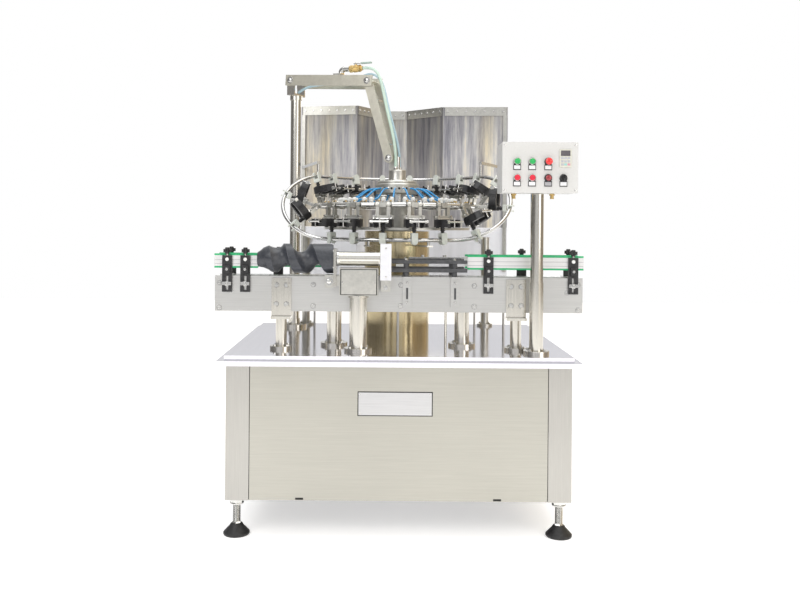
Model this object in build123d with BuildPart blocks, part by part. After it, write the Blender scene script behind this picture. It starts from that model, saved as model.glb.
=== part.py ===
"""Rotary bottle rinser: screw-fed conveyor, flip-over gripper carousel, rinse water head.

Frame: millimetres, +Z up, origin on the floor under the carousel axis. +X is the way the bottles
travel, -Y is the operator's side.
"""
from build123d import *
import math
import os

os.makedirs("parts", exist_ok=True)

# ---------------------------------------------------------------- driving dimensions
TABLE_TOP_Z = 685.0
TABLE_WIDTH = 1313.0
TABLE_DEPTH = 1056.0
TABLE_FRONT_Y = -692.0
TABLE_LIP = 27.0
TABLE_LIP_Z = 668.0
TABLE_UNDER_Z = 650.0
CABINET_BASE_Z = 142.0
CABINET_WIDTH = 1300.0
CABINET_INSET_Y = 5.0
CORNER_POST = 88.0
RAIL_SECTION = 40.0
TUBE_WALL = 3.0
SHEET = 3.0
JOINT_GAP = 0.5
FOOT_X = 613.0

CONVEYOR_Y = -442.0
CONVEYOR_HALF_LENGTH = 730.0
CONVEYOR_HALF_WIDTH = 57.0
SIDE_PLATE = 8.0
SIDE_PLATE_LOW = 833.0
SIDE_PLATE_HIGH = 973.0
CHAIN_WIDTH = 82.5
CHAIN_TOP_Z = 975.0
CHAIN_THICKNESS = 4.0
SPROCKET_X = 668.0
SPROCKET_RADIUS = 54.0
SPROCKET_TEETH = 12

SCREW_Y = -514.0
SCREW_Z = 1044.0
SCREW_RADIUS = 58.0
SCREW_LEFT_X = -558.0
SCREW_RIGHT_X = -258.0
SCREW_SHAFT = 12.5
RUNNING_GAP = 0.05

COLUMN_RADIUS = 147.0
COLUMN_TOP_Z = 1150.0
SHAFT_RADIUS = 25.0
RING_RADIUS = 345.0
RING_LOW_Z = 1262.0
RING_TOP_Z = 1272.0

GRIPPER_COUNT = 18
PIVOT_RADIUS = 372.0
PIVOT_Z = 1262.0
PIVOT_PIN = 6.0
CAM_LEVER = 142.0
CAM_ROD = 8.0
CAM_CENTRE = -6.0
CAM_DOWN = -90.0
CAM_UP = 78.0
CAM_RISE_START = 47.0
CAM_RISE_END = 103.0

ROTOR_RADIUS = 98.0
ROTOR_LOW_Z = 1318.0
ROTOR_TOP_Z = 1364.0
HOSE_RADIUS = 4.0
ELBOW_RADIUS_POS = 262.0
ELBOW_SPREAD = 3.9

ARM_POST_X = -487.0
ARM_POST_Y = 217.0
ARM_REACH = math.hypot(ARM_POST_X, ARM_POST_Y)
BEAM_START_Z = 1862.0
ELBOW_S = 402.0
ELBOW_Z = 1836.0
WRIST_S = 509.0
WRIST_Z = 1480.0
ARM_PIN = 8.0
ARM_PIN_CLEARANCE = 0.1

GUARD_PLAN = [(-491, 545), (-200, 485), (-70, 700), (60, 700), (243, 520), (574, 500)]
GUARD_LOW_Z = 1166.0
GUARD_TOP_Z = 1788.0
SKIRT_LOW_Z = 912.0
GUARD_STRIP_HEIGHT = 45.0
GUARD_POST_X = 440.0
GUARD_POST_Y = 322.0

BOX_LEFT = 386.0
BOX_RIGHT = 674.0
BOX_FRONT = -651.0
BOX_DEPTH = 150.0
BOX_LOW = 1304.0
BOX_TOP = 1498.0
BOX_WALL = 2.0
DEVICE_HOLE = 11.1
BEZEL_OUTER = 14.75
BEZEL_INNER = 11.5
BEZEL_DEPTH = 12.0
CONTROL_POST_X = 533.0
CONTROL_POST_Y = -576.0

ALONG_X = (0, 90, 0)
ALONG_Y = (90, 0, 0)


def bend_radii(points):
    """Corner radii as large as the two runs beside each corner allow."""
    vectors = [Vector(*point) for point in points]
    radii = []
    for before, corner, after in zip(vectors, vectors[1:], vectors[2:]):
        run_in = corner - before
        run_out = after - corner
        half_turn = math.radians(run_in.get_angle(run_out)) / 2
        radii.append(0.45 * min(run_in.length, run_out.length) / math.tan(half_turn))
    return radii


def closed_bend_radii(points):
    """The same radii for a closed route."""
    return bend_radii([points[-1]] + points + [points[0]])


def around(radius, angle, z):
    """Point at a radius from the carousel axis, at an angle from the front towards +X."""
    turn = math.radians(angle)
    return (radius * math.sin(turn), -radius * math.cos(turn), z)


# ---------------------------------------------------------------- cabinet
CABINET_FRONT_Y = TABLE_FRONT_Y + CABINET_INSET_Y
CABINET_BACK_Y = TABLE_FRONT_Y + TABLE_DEPTH - CABINET_INSET_Y
CABINET_MID_Y = (CABINET_FRONT_Y + CABINET_BACK_Y) / 2
CABINET_HEIGHT = TABLE_UNDER_Z - CABINET_BASE_Z
CABINET_MID_Z = (TABLE_UNDER_Z + CABINET_BASE_Z) / 2
POST_X = CABINET_WIDTH / 2 - CORNER_POST / 2
POST_FRONT_Y = CABINET_FRONT_Y + CORNER_POST / 2
POST_BACK_Y = CABINET_BACK_Y - CORNER_POST / 2
LONG_RAIL = CABINET_WIDTH - 2 * CORNER_POST - 2 * JOINT_GAP
SHORT_RAIL = CABINET_BACK_Y - CABINET_FRONT_Y - 2 * CORNER_POST - 2 * JOINT_GAP
RAIL_INSET = SHEET + JOINT_GAP + RAIL_SECTION / 2
RAIL_BORE = RAIL_SECTION - 2 * TUBE_WALL
RAIL_HEIGHTS = (CABINET_BASE_Z + RAIL_SECTION / 2, TABLE_UNDER_Z - RAIL_SECTION / 2)
POST_SPOTS = [(x, y) for x in (-POST_X, POST_X) for y in (POST_FRONT_Y, POST_BACK_Y)]

with BuildPart() as cabinet_frame:
    with Locations([(x, y, CABINET_MID_Z) for x, y in POST_SPOTS]):
        Box(CORNER_POST, CORNER_POST, CABINET_HEIGHT)
    post_bore = CORNER_POST - 2 * TUBE_WALL
    with Locations([(x, y, CABINET_MID_Z + TUBE_WALL) for x, y in POST_SPOTS]):
        Box(post_bore, post_bore, CABINET_HEIGHT - 2 * TUBE_WALL, mode=Mode.SUBTRACT)
    for z in RAIL_HEIGHTS:
        for y in (CABINET_FRONT_Y + RAIL_INSET, CABINET_BACK_Y - RAIL_INSET):
            with Locations((0, y, z)):
                Box(LONG_RAIL, RAIL_SECTION, RAIL_SECTION)
                Box(LONG_RAIL, RAIL_BORE, RAIL_BORE, mode=Mode.SUBTRACT)
        for x in (-CABINET_WIDTH / 2 + RAIL_INSET, CABINET_WIDTH / 2 - RAIL_INSET):
            with Locations((x, CABINET_MID_Y, z)):
                Box(RAIL_SECTION, SHORT_RAIL, RAIL_SECTION)
                Box(RAIL_BORE, SHORT_RAIL, RAIL_BORE, mode=Mode.SUBTRACT)
cabinet_frame.part.label = "cabinet_frame"
export_step(cabinet_frame.part, "parts/cabinet_frame.step")

PANEL_GAP = 6.0
SLOT_X = 371.0
with BuildPart() as front_panel:
    with Locations((0, CABINET_FRONT_Y + SHEET / 2, CABINET_MID_Z)):
        Box(CABINET_WIDTH - 2 * CORNER_POST - PANEL_GAP, SHEET, CABINET_HEIGHT - PANEL_GAP)
    with Locations([(x, CABINET_FRONT_Y, CABINET_BASE_Z + PANEL_GAP) for x in (-SLOT_X, SLOT_X)]):
        Box(30, 4 * SHEET, 16, mode=Mode.SUBTRACT)
front_panel.part.label = "front_panel"
export_step(front_panel.part, "parts/front_panel.step")

with BuildPart() as cabinet_panels:
    with Locations((0, CABINET_BACK_Y - SHEET / 2, CABINET_MID_Z)):
        Box(CABINET_WIDTH - 2 * CORNER_POST - PANEL_GAP, SHEET, CABINET_HEIGHT - PANEL_GAP)
    side_x = CABINET_WIDTH / 2 - SHEET / 2
    with Locations([(x, CABINET_MID_Y, CABINET_MID_Z) for x in (-side_x, side_x)]):
        Box(SHEET, SHORT_RAIL - PANEL_GAP, CABINET_HEIGHT - PANEL_GAP)
cabinet_panels.part.label = "cabinet_panels"
export_step(cabinet_panels.part, "parts/cabinet_panels.step")

TABLE_MID_Y = TABLE_FRONT_Y + TABLE_DEPTH / 2
TABLE_SHAFT_HOLE = 35.0
with BuildPart() as table_top:
    with BuildSketch(Plane.XY.offset(TABLE_UNDER_Z)):
        with Locations((0, TABLE_MID_Y)):
            Rectangle(TABLE_WIDTH + 2 * TABLE_LIP, TABLE_DEPTH + 2 * TABLE_LIP)
    extrude(amount=TABLE_LIP_Z - TABLE_UNDER_Z)
    with BuildSketch(Plane.XY.offset(TABLE_LIP_Z)):
        with Locations((0, TABLE_MID_Y)):
            Rectangle(TABLE_WIDTH, TABLE_DEPTH)
    extrude(amount=TABLE_TOP_Z - TABLE_LIP_Z)
    with Locations((0, 0, TABLE_TOP_Z)):
        Hole(TABLE_SHAFT_HOLE)
table_top.part.label = "table_top"
export_step(table_top.part, "parts/table_top.step")

FOOT_PAD_HEIGHT = 45.0
FOOT_SPOTS = [(x, y) for x in (-FOOT_X, FOOT_X) for y in (POST_FRONT_Y + 5, POST_BACK_Y - 5)]
FOOT_NUT = 17.0
with BuildPart() as leveling_feet:
    with Locations([(x, y, FOOT_PAD_HEIGHT / 2) for x, y in FOOT_SPOTS]):
        Cone(50, 26, FOOT_PAD_HEIGHT)
    stem_height = CABINET_BASE_Z - FOOT_PAD_HEIGHT
    with Locations([(x, y, FOOT_PAD_HEIGHT + stem_height / 2) for x, y in FOOT_SPOTS]):
        Cylinder(15, stem_height)
    with BuildSketch(Plane.XY.offset(CABINET_BASE_Z - FOOT_NUT)):
        with Locations(FOOT_SPOTS):
            RegularPolygon(25, 6)
    extrude(amount=FOOT_NUT)
leveling_feet.part.label = "leveling_feet"
export_step(leveling_feet.part, "parts/leveling_feet.step")

GEARBOX_SIZE = 170.0
GEARBOX_HEIGHT = 150.0
MOTOR_RADIUS = 70.0
MOTOR_LENGTH = 260.0
with BuildPart() as drive_motor:
    gearbox_z = TABLE_UNDER_Z - GEARBOX_HEIGHT / 2
    with Locations((0, 0, gearbox_z)):
        Box(GEARBOX_SIZE, GEARBOX_SIZE, GEARBOX_HEIGHT)
    with Locations((0, -(GEARBOX_SIZE + MOTOR_LENGTH) / 2, gearbox_z)):
        Cylinder(MOTOR_RADIUS, MOTOR_LENGTH, rotation=ALONG_Y)
    with Locations((0, 0, TABLE_UNDER_Z)):
        Hole(SHAFT_RADIUS + RUNNING_GAP)
drive_motor.part.label = "drive_motor"
export_step(drive_motor.part, "parts/drive_motor.step")

# ---------------------------------------------------------------- conveyor
PLATE_MID_Z = (SIDE_PLATE_LOW + SIDE_PLATE_HIGH) / 2
PLATE_OFFSET = CONVEYOR_HALF_WIDTH - SIDE_PLATE / 2
INNER_WIDTH = 2 * (CONVEYOR_HALF_WIDTH - SIDE_PLATE)
CHAIN_OUTER = 60.0
CHAIN_INNER = CHAIN_OUTER - CHAIN_THICKNESS
CHAIN_MID_Z = CHAIN_TOP_Z - CHAIN_OUTER
AXLE_RADIUS = 12.0
TIE_BAR_XS = (-500, -250, 0, 250, 500)
with BuildPart() as conveyor_frame:
    with Locations([(0, CONVEYOR_Y + side * PLATE_OFFSET, PLATE_MID_Z) for side in (-1, 1)]):
        Box(2 * CONVEYOR_HALF_LENGTH, SIDE_PLATE, SIDE_PLATE_HIGH - SIDE_PLATE_LOW)
    with Locations([(x, CONVEYOR_Y, CHAIN_MID_Z) for x in (-SPROCKET_X, SPROCKET_X)]):
        Cylinder(AXLE_RADIUS + RUNNING_GAP, 3 * CONVEYOR_HALF_WIDTH, rotation=ALONG_Y, mode=Mode.SUBTRACT)
    with Locations([(x, CONVEYOR_Y, CHAIN_MID_Z) for x in TIE_BAR_XS]):
        Cylinder(10, INNER_WIDTH - 2 * JOINT_GAP, rotation=ALONG_Y)
conveyor_frame.part.label = "conveyor_frame"
export_step(conveyor_frame.part, "parts/conveyor_frame.step")

with BuildPart() as conveyor_chain:
    with BuildSketch(Plane.XZ.offset(-CONVEYOR_Y - CHAIN_WIDTH / 2)):
        with Locations((0, CHAIN_MID_Z)):
            SlotCenterToCenter(2 * SPROCKET_X, 2 * CHAIN_OUTER)
            SlotCenterToCenter(2 * SPROCKET_X, 2 * CHAIN_INNER, mode=Mode.SUBTRACT)
    extrude(amount=CHAIN_WIDTH)
conveyor_chain.part.label = "conveyor_chain"
export_step(conveyor_chain.part, "parts/conveyor_chain.step")

SPROCKET_WIDTH = 30.0
for sprocket_name, sprocket_x in (("drive_sprocket", SPROCKET_X), ("idle_sprocket", -SPROCKET_X)):
    with BuildPart() as sprocket:
        with BuildSketch(Plane.XZ.offset(-CONVEYOR_Y - SPROCKET_WIDTH / 2)):
            with Locations((sprocket_x, CHAIN_MID_Z)):
                Circle(SPROCKET_RADIUS - 8)
                with PolarLocations(SPROCKET_RADIUS - 8, SPROCKET_TEETH):
                    Rectangle(14, 10)
        extrude(amount=SPROCKET_WIDTH)
        with Locations((sprocket_x, CONVEYOR_Y, CHAIN_MID_Z)):
            Cylinder(AXLE_RADIUS, 2 * CONVEYOR_HALF_WIDTH, rotation=ALONG_Y)
    sprocket.part.label = sprocket_name
    export_step(sprocket.part, f"parts/{sprocket_name}.step")

FRONT_FACE_Y = CONVEYOR_Y - CONVEYOR_HALF_WIDTH
BACK_FACE_Y = CONVEYOR_Y + CONVEYOR_HALF_WIDTH
BRACKET_XS = (-465, 465)
REAR_POST_XS = (-262, 262)
BRACKET_FOOT_Z = 805.0
with BuildPart() as conveyor_supports:
    with Locations([(x, FRONT_FACE_Y - 4, 890) for x in BRACKET_XS]):
        Box(78, 8, 150)
    with Locations([(x, FRONT_FACE_Y - 2, BRACKET_FOOT_Z + 5) for x in BRACKET_XS]):
        Box(78, 60, 10)
    bolt_spots = [(x + dx, FRONT_FACE_Y - 10, z) for x in BRACKET_XS for dx in (-25, 25) for z in (850, 940)]
    with Locations(bolt_spots):
        Cylinder(8, 6, rotation=ALONG_Y)
    with Locations([(x, FRONT_FACE_Y, (BRACKET_FOOT_Z + TABLE_TOP_Z) / 2) for x in BRACKET_XS]):
        Cylinder(22, BRACKET_FOOT_Z - TABLE_TOP_Z)
    with Locations([(x, FRONT_FACE_Y, TABLE_TOP_Z + 6) for x in BRACKET_XS]):
        Cylinder(45, 12)
    with Locations([(x, BACK_FACE_Y, (SIDE_PLATE_LOW + TABLE_TOP_Z) / 2) for x in REAR_POST_XS]):
        Cylinder(30, SIDE_PLATE_LOW - TABLE_TOP_Z)
    with Locations([(x, BACK_FACE_Y, TABLE_TOP_Z + 6) for x in REAR_POST_XS]):
        Cylinder(55, 12)
    with Locations((193, -414, (SIDE_PLATE_LOW + TABLE_TOP_Z) / 2)):
        Cylinder(5, SIDE_PLATE_LOW - TABLE_TOP_Z)
conveyor_supports.part.label = "conveyor_supports"
export_step(conveyor_supports.part, "parts/conveyor_supports.step")

RAIL_END = 733.0
RAIL_BAR = 6.0
RAIL_BAR_LOW = 1010.5
RAIL_BAR_TOP = 1053.5
STRIP_HEIGHT = 9.0
STRIP_DEPTH = 10.0
FRONT_RAIL_RUNS = ((-RAIL_END, -560), (272, RAIL_END))
BACK_RAIL_RUNS = ((-RAIL_END, -250), (272, RAIL_END))
with BuildPart() as guide_rails:
    for side, runs in ((-1, FRONT_RAIL_RUNS), (1, BACK_RAIL_RUNS)):
        bar_y = CONVEYOR_Y + side * (CONVEYOR_HALF_WIDTH - RAIL_BAR / 2)
        strip_y = CONVEYOR_Y + side * (CONVEYOR_HALF_WIDTH - STRIP_DEPTH / 2)
        for left, right in runs:
            mid_x = (left + right) / 2
            with Locations((mid_x, bar_y, (RAIL_BAR_LOW + RAIL_BAR_TOP) / 2)):
                Box(right - left, RAIL_BAR, RAIL_BAR_TOP - RAIL_BAR_LOW)
            strip_zs = (RAIL_BAR_LOW - STRIP_HEIGHT / 2, RAIL_BAR_TOP + STRIP_HEIGHT / 2)
            with Locations([(mid_x, strip_y, z) for z in strip_zs]):
                Box(right - left, STRIP_DEPTH, STRIP_HEIGHT)
guide_rails.part.label = "guide_rails"
export_step(guide_rails.part, "parts/guide_rails.step")

FRONT_BRACKET_XS = (-681, -609, 355, 691)
BACK_BRACKET_XS = (-686, -493, 506, 698)
with BuildPart() as rail_brackets:
    for side, spots in ((-1, FRONT_BRACKET_XS), (1, BACK_BRACKET_XS)):
        bracket_y = CONVEYOR_Y + side * (CONVEYOR_HALF_WIDTH + 5)
        with Locations([(x, bracket_y, 981) for x in spots]):
            Box(39, 10, 144)
            Box(10, 20, 60, mode=Mode.SUBTRACT)
        with Locations([(x, bracket_y, 1059) for x in spots]):
            Cylinder(4.5, 14)
        with Locations([(x, bracket_y, 1075) for x in spots]):
            Cylinder(16, 20)
rail_brackets.part.label = "rail_brackets"
export_step(rail_brackets.part, "parts/rail_brackets.step")

# ---------------------------------------------------------------- infeed screw and its drive
LEAD_IN = 88.0
LEAD_IN_RADIUS = 29.0
SHAFT_END_X = -90.0
with BuildPart() as infeed_screw:
    with Locations((SCREW_LEFT_X + LEAD_IN / 2, SCREW_Y, SCREW_Z)):
        Cone(LEAD_IN_RADIUS, SCREW_RADIUS, LEAD_IN, rotation=ALONG_X)
    body_length = SCREW_RIGHT_X - SCREW_LEFT_X - LEAD_IN
    with Locations((SCREW_RIGHT_X - body_length / 2, SCREW_Y, SCREW_Z)):
        Cylinder(SCREW_RADIUS, body_length, rotation=ALONG_X)
    with Locations(((SCREW_RIGHT_X + SHAFT_END_X) / 2, SCREW_Y, SCREW_Z)):
        Cylinder(SCREW_SHAFT, SHAFT_END_X - SCREW_RIGHT_X, rotation=ALONG_X)
infeed_screw.part.label = "infeed_screw"
export_step(infeed_screw.part, "parts/infeed_screw.step")

DRIVE_POST_Y = -542.0
with BuildPart() as screw_drive:
    with Locations((-157, -539.5, 955.5)):
        Box(152, 75, 107)
    with Locations((-159, DRIVE_POST_Y, (902 + TABLE_TOP_Z) / 2)):
        Cylinder(34.5, 902 - TABLE_TOP_Z)
    with Locations((-159, DRIVE_POST_Y, TABLE_TOP_Z + 6)):
        Cylinder(55, 12)
    with Locations((-239.5, -540, 960)):
        Box(13, 40, 40)
    with Locations((-251, -537, 1010.5)):
        Box(10, 74, 145)
    with Locations((-251, -477, 1031.5)):
        Box(10, 46, 103)
    with Locations((-273, -530, 957)):
        Box(34, 50, 50)
    with Locations((-251, SCREW_Y, SCREW_Z)):
        Cylinder(SCREW_SHAFT + RUNNING_GAP, 40, rotation=ALONG_X, mode=Mode.SUBTRACT)
    with Locations((-159.5, SCREW_Y, SCREW_Z)):
        Cylinder(27.5, 170, rotation=ALONG_X)
        Cylinder(24, 170, rotation=ALONG_X, mode=Mode.SUBTRACT)
    with Locations((-52.5, -539.5, 1033.5)):
        Box(43, 75, 141)
    with Locations((-52.5, -530, 940.5)):
        Box(38, 62, 45)
screw_drive.part.label = "screw_drive"
export_step(screw_drive.part, "parts/screw_drive.step")

GUIDE_LEFT = -29.0
GUIDE_RIGHT = 269.0
GUIDE_LAYERS = ((993, 1008), (1027, 1040))
with BuildPart() as bottle_guides:
    guide_mid_x = (GUIDE_LEFT + GUIDE_RIGHT) / 2
    for low, high in GUIDE_LAYERS:
        with Locations([(guide_mid_x, y, (low + high) / 2) for y in (-512, -374)]):
            Box(GUIDE_RIGHT - GUIDE_LEFT, 34, high - low)
    with Locations((guide_mid_x + 70, -374, 1044)):
        Box(GUIDE_RIGHT - GUIDE_LEFT - 140, 34, 8)
    for x in (33, 223):
        with Locations((x, FRONT_FACE_Y - 4, 914)):
            Box(35, 8, 122)
        with Locations((x, FRONT_FACE_Y - 16, 972)):
            Box(35, 32, 6)
        with Locations([(x - 4, -514, 1007), (x - 4, -374, 1007)]):
            Cylinder(11, 64)
        with Locations((x - 4, -379, 940)):
            Box(35, 12, 70)
bottle_guides.part.label = "bottle_guides"
export_step(bottle_guides.part, "parts/bottle_guides.step")

# ---------------------------------------------------------------- column and carousel
with BuildPart() as center_column:
    with BuildSketch(Plane.XY.offset(TABLE_TOP_Z)):
        Circle(COLUMN_RADIUS)
    extrude(amount=COLUMN_TOP_Z - TABLE_TOP_Z)
    with BuildSketch(Plane.XY.offset(TABLE_TOP_Z)):
        Circle(COLUMN_RADIUS - 6)
    extrude(amount=COLUMN_TOP_Z - TABLE_TOP_Z - 12, mode=Mode.SUBTRACT)
    with Locations((0, 0, COLUMN_TOP_Z)):
        Hole(SHAFT_RADIUS + RUNNING_GAP)
center_column.part.label = "center_column"
export_step(center_column.part, "parts/center_column.step")

HUB_RADIUS = 80.0
HUB_LOW_Z = COLUMN_TOP_Z + JOINT_GAP
SHAFT_LOW_Z = 520.0
LOWER_PLATE_RADIUS = 330.0
EAR_WIDTH = 28.0
BARREL_RADIUS = 9.5
GRIPPER_STEP = 360 / GRIPPER_COUNT
BARREL_AT = PIVOT_RADIUS * math.cos(math.radians(GRIPPER_STEP / 2))
with BuildPart() as carousel_rotor:
    with Locations((0, 0, (SHAFT_LOW_Z + HUB_LOW_Z) / 2)):
        Cylinder(SHAFT_RADIUS, HUB_LOW_Z - SHAFT_LOW_Z)
    with Locations((0, 0, (HUB_LOW_Z + RING_LOW_Z) / 2)):
        Cylinder(HUB_RADIUS, RING_LOW_Z - HUB_LOW_Z)
    with Locations((0, 0, 1162)):
        Cylinder(LOWER_PLATE_RADIUS, 10)
    with Locations((0, 0, (RING_LOW_Z + RING_TOP_Z) / 2)):
        Cylinder(RING_RADIUS, RING_TOP_Z - RING_LOW_Z)
    for index in range(GRIPPER_COUNT):
        ear_turn = GRIPPER_STEP * (index + 0.5) - 90
        with BuildPart(Plane.XY.rotated((0, 0, ear_turn)).offset(PIVOT_Z), mode=Mode.PRIVATE) as ear:
            with Locations((PIVOT_RADIUS - 10, 0, 0)):
                Box(44, EAR_WIDTH, 20)
            with Locations((PIVOT_RADIUS, 0, 0)):
                Cylinder(PIVOT_PIN + RUNNING_GAP, 2 * EAR_WIDTH, rotation=ALONG_Y, mode=Mode.SUBTRACT)
        add(ear.part)
        barrel_turn = GRIPPER_STEP * index - 90
        with BuildPart(Plane.XY.rotated((0, 0, barrel_turn)).offset(PIVOT_Z), mode=Mode.PRIVATE) as barrel:
            with Locations((BARREL_AT, 0, 0)):
                Cylinder(BARREL_RADIUS, 56, rotation=ALONG_Y)
            with Locations((BARREL_AT - 13, 0, 0)):
                Box(26, 20, 12)
        add(barrel.part)
carousel_rotor.part.label = "carousel_rotor"
export_step(carousel_rotor.part, "parts/carousel_rotor.step")

with BuildPart() as distributor_rotor:
    with Locations((0, 0, (ROTOR_LOW_Z + ROTOR_TOP_Z) / 2)):
        Cylinder(ROTOR_RADIUS, ROTOR_TOP_Z - ROTOR_LOW_Z)
    with Locations((0, 0, (RING_TOP_Z + ROTOR_LOW_Z) / 2)):
        Cylinder(30, ROTOR_LOW_Z - RING_TOP_Z)
distributor_rotor.part.label = "distributor_rotor"
export_step(distributor_rotor.part, "parts/distributor_rotor.step")

HOSE_ROUTE = [(98.3, 1341), (128, 1341), (160, 1323), (190, 1298), (222, 1288), (246, 1288)]
with BuildPart() as spray_hoses:
    for index in range(GRIPPER_COUNT):
        hose_turn = GRIPPER_STEP * (index + 0.5) + ELBOW_SPREAD
        route = [around(radius, hose_turn, z) for radius, z in HOSE_ROUTE]
        with BuildLine() as hose_line:
            FilletPolyline(*route, radius=bend_radii(route))
        with BuildSketch(Plane(origin=hose_line.line @ 0, z_dir=hose_line.line % 0)):
            Circle(HOSE_RADIUS)
        sweep(path=hose_line.line)
spray_hoses.part.label = "spray_hoses"
export_step(spray_hoses.part, "parts/spray_hoses.step")

with BuildPart() as hose_elbows:
    for index in range(GRIPPER_COUNT):
        for side in (-1, 1):
            elbow_turn = GRIPPER_STEP * (index + 0.5) + side * ELBOW_SPREAD
            elbow_x, elbow_y, elbow_z = around(ELBOW_RADIUS_POS, elbow_turn, RING_TOP_Z)
            with Locations((elbow_x, elbow_y, elbow_z + 12)):
                Cylinder(8, 24)
            with Locations(Location(around(ELBOW_RADIUS_POS - 8, elbow_turn, 1288), (0, 0, elbow_turn - 90))):
                Cylinder(6.5, 16, rotation=ALONG_X)
hose_elbows.part.label = "hose_elbows"
export_step(hose_elbows.part, "parts/hose_elbows.step")


def cam_attitude(angle):
    """Gripper attitude (degrees above horizontal) that the rail gives at an angle round the axis."""
    offset = abs((angle - CAM_CENTRE + 180) % 360 - 180)
    share = min(max((offset - CAM_RISE_START) / (CAM_RISE_END - CAM_RISE_START), 0), 1)
    return CAM_DOWN + share * (CAM_UP - CAM_DOWN)


def gripper_plane(angle, attitude):
    """Workplane at a gripper's pivot: x along the gripper, y along the pin, z outward when hanging."""
    turn = math.radians(angle)
    lift = math.radians(attitude)
    radial = Vector(math.sin(turn), -math.cos(turn), 0)
    upward = Vector(0, 0, 1)
    along = radial * math.cos(lift) + upward * math.sin(lift)
    normal = radial * -math.sin(lift) + upward * math.cos(lift)
    return Plane(origin=around(PIVOT_RADIUS, angle, PIVOT_Z), x_dir=along, z_dir=normal)


for index in range(GRIPPER_COUNT):
    gripper_angle = GRIPPER_STEP * (index + 0.5)
    gripper_name = f"gripper_{index + 1:02d}"
    with BuildPart(gripper_plane(gripper_angle, cam_attitude(gripper_angle))) as gripper:
        Cylinder(PIVOT_PIN, 61, rotation=ALONG_Y)
        with Locations((0, -23, 0), (0, 23, 0)):
            Cylinder(11, 15, rotation=ALONG_Y)
        with Locations((25, -23, 0), (25, 23, 0)):
            Box(54, 15, 15)
        with Locations((50, 0, 0)):
            Box(12, 87, 16)
        with Locations((76, -30, 35), (76, 30, 35)):
            Box(42, 30, 100)
        with Locations((86, 0, 0)):
            Cylinder(8, 64, rotation=ALONG_X)
        with Locations((122, 0, 0)):
            Box(14, 20, 20)
    gripper.part.label = gripper_name
    export_step(gripper.part, f"parts/{gripper_name}.step")

# ---------------------------------------------------------------- flip rail and its stays
SHEET_TRIM = 6.0


def guard_spans():
    """Plane on the floor under each straight panel, x along it and y to the back, with its length."""
    spans = []
    for (x0, y0), (x1, y1) in zip(GUARD_PLAN, GUARD_PLAN[1:]):
        middle = ((x0 + x1) / 2, (y0 + y1) / 2, 0)
        spans.append((Plane(origin=middle, x_dir=(x1 - x0, y1 - y0, 0)), math.hypot(x1 - x0, y1 - y0)))
    return spans


END_MEMBER_WIDTH = 18.0
END_MEMBER_DEPTH = 14.0


def guard_end_plane(side):
    """Plane on the floor at the front of the guard's end member, x along the sheet and y to the back."""
    span_plane, length = guard_spans()[0 if side < 0 else -1]
    along = side * (length / 2 - SHEET_TRIM - END_MEMBER_WIDTH / 2)
    return Plane(origin=span_plane.from_local_coords(Vector(along, -END_MEMBER_DEPTH, 0)), x_dir=span_plane.x_dir)


RAIL_SET_OUT = 1.03
RAIL_JOINT = 0.1
LEVEL_OFFSETS = (12, 24, 36)
RISE_OFFSETS = (47, 52, 57, 62, 67, 72, 77, 82, 87, 92, 97, 103)
RAISED_OFFSETS = (115, 127, 139, 151, 163, 174)


def rail_point(angle):
    """Rail corner over a gripper's circle, set out so that the runs never come inside the lever."""
    lift = math.radians(cam_attitude(angle))
    lever = CAM_LEVER * RAIL_SET_OUT
    return around(PIVOT_RADIUS + lever * math.cos(lift), angle, PIVOT_Z + lever * math.sin(lift))


half_offsets = LEVEL_OFFSETS + RISE_OFFSETS + RAISED_OFFSETS
rail_offsets = [-offset for offset in reversed(half_offsets)] + [0] + list(half_offsets)
rail_corners = [rail_point(CAM_CENTRE + offset) for offset in rail_offsets]
rail_radii = closed_bend_radii(rail_corners)
with BuildPart() as flip_rail:
    for index, corner_point in enumerate(rail_corners):
        corner = Vector(*corner_point)
        run_in = corner - Vector(*rail_corners[index - 1])
        run_out = Vector(*rail_corners[(index + 1) % len(rail_corners)]) - corner
        start = corner - run_in.normalized() * (run_in.length / 2 - RAIL_JOINT)
        end = corner + run_out.normalized() * (run_out.length / 2 - RAIL_JOINT)
        with BuildLine() as rail_line:
            FilletPolyline(start, corner, end, radius=rail_radii[index])
        with BuildSketch(Plane(origin=rail_line.line @ 0, z_dir=rail_line.line % 0)):
            Circle(CAM_ROD)
        sweep(path=rail_line.line)
flip_rail.part.label = "flip_rail"
export_step(flip_rail.part, "parts/flip_rail.step")

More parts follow.
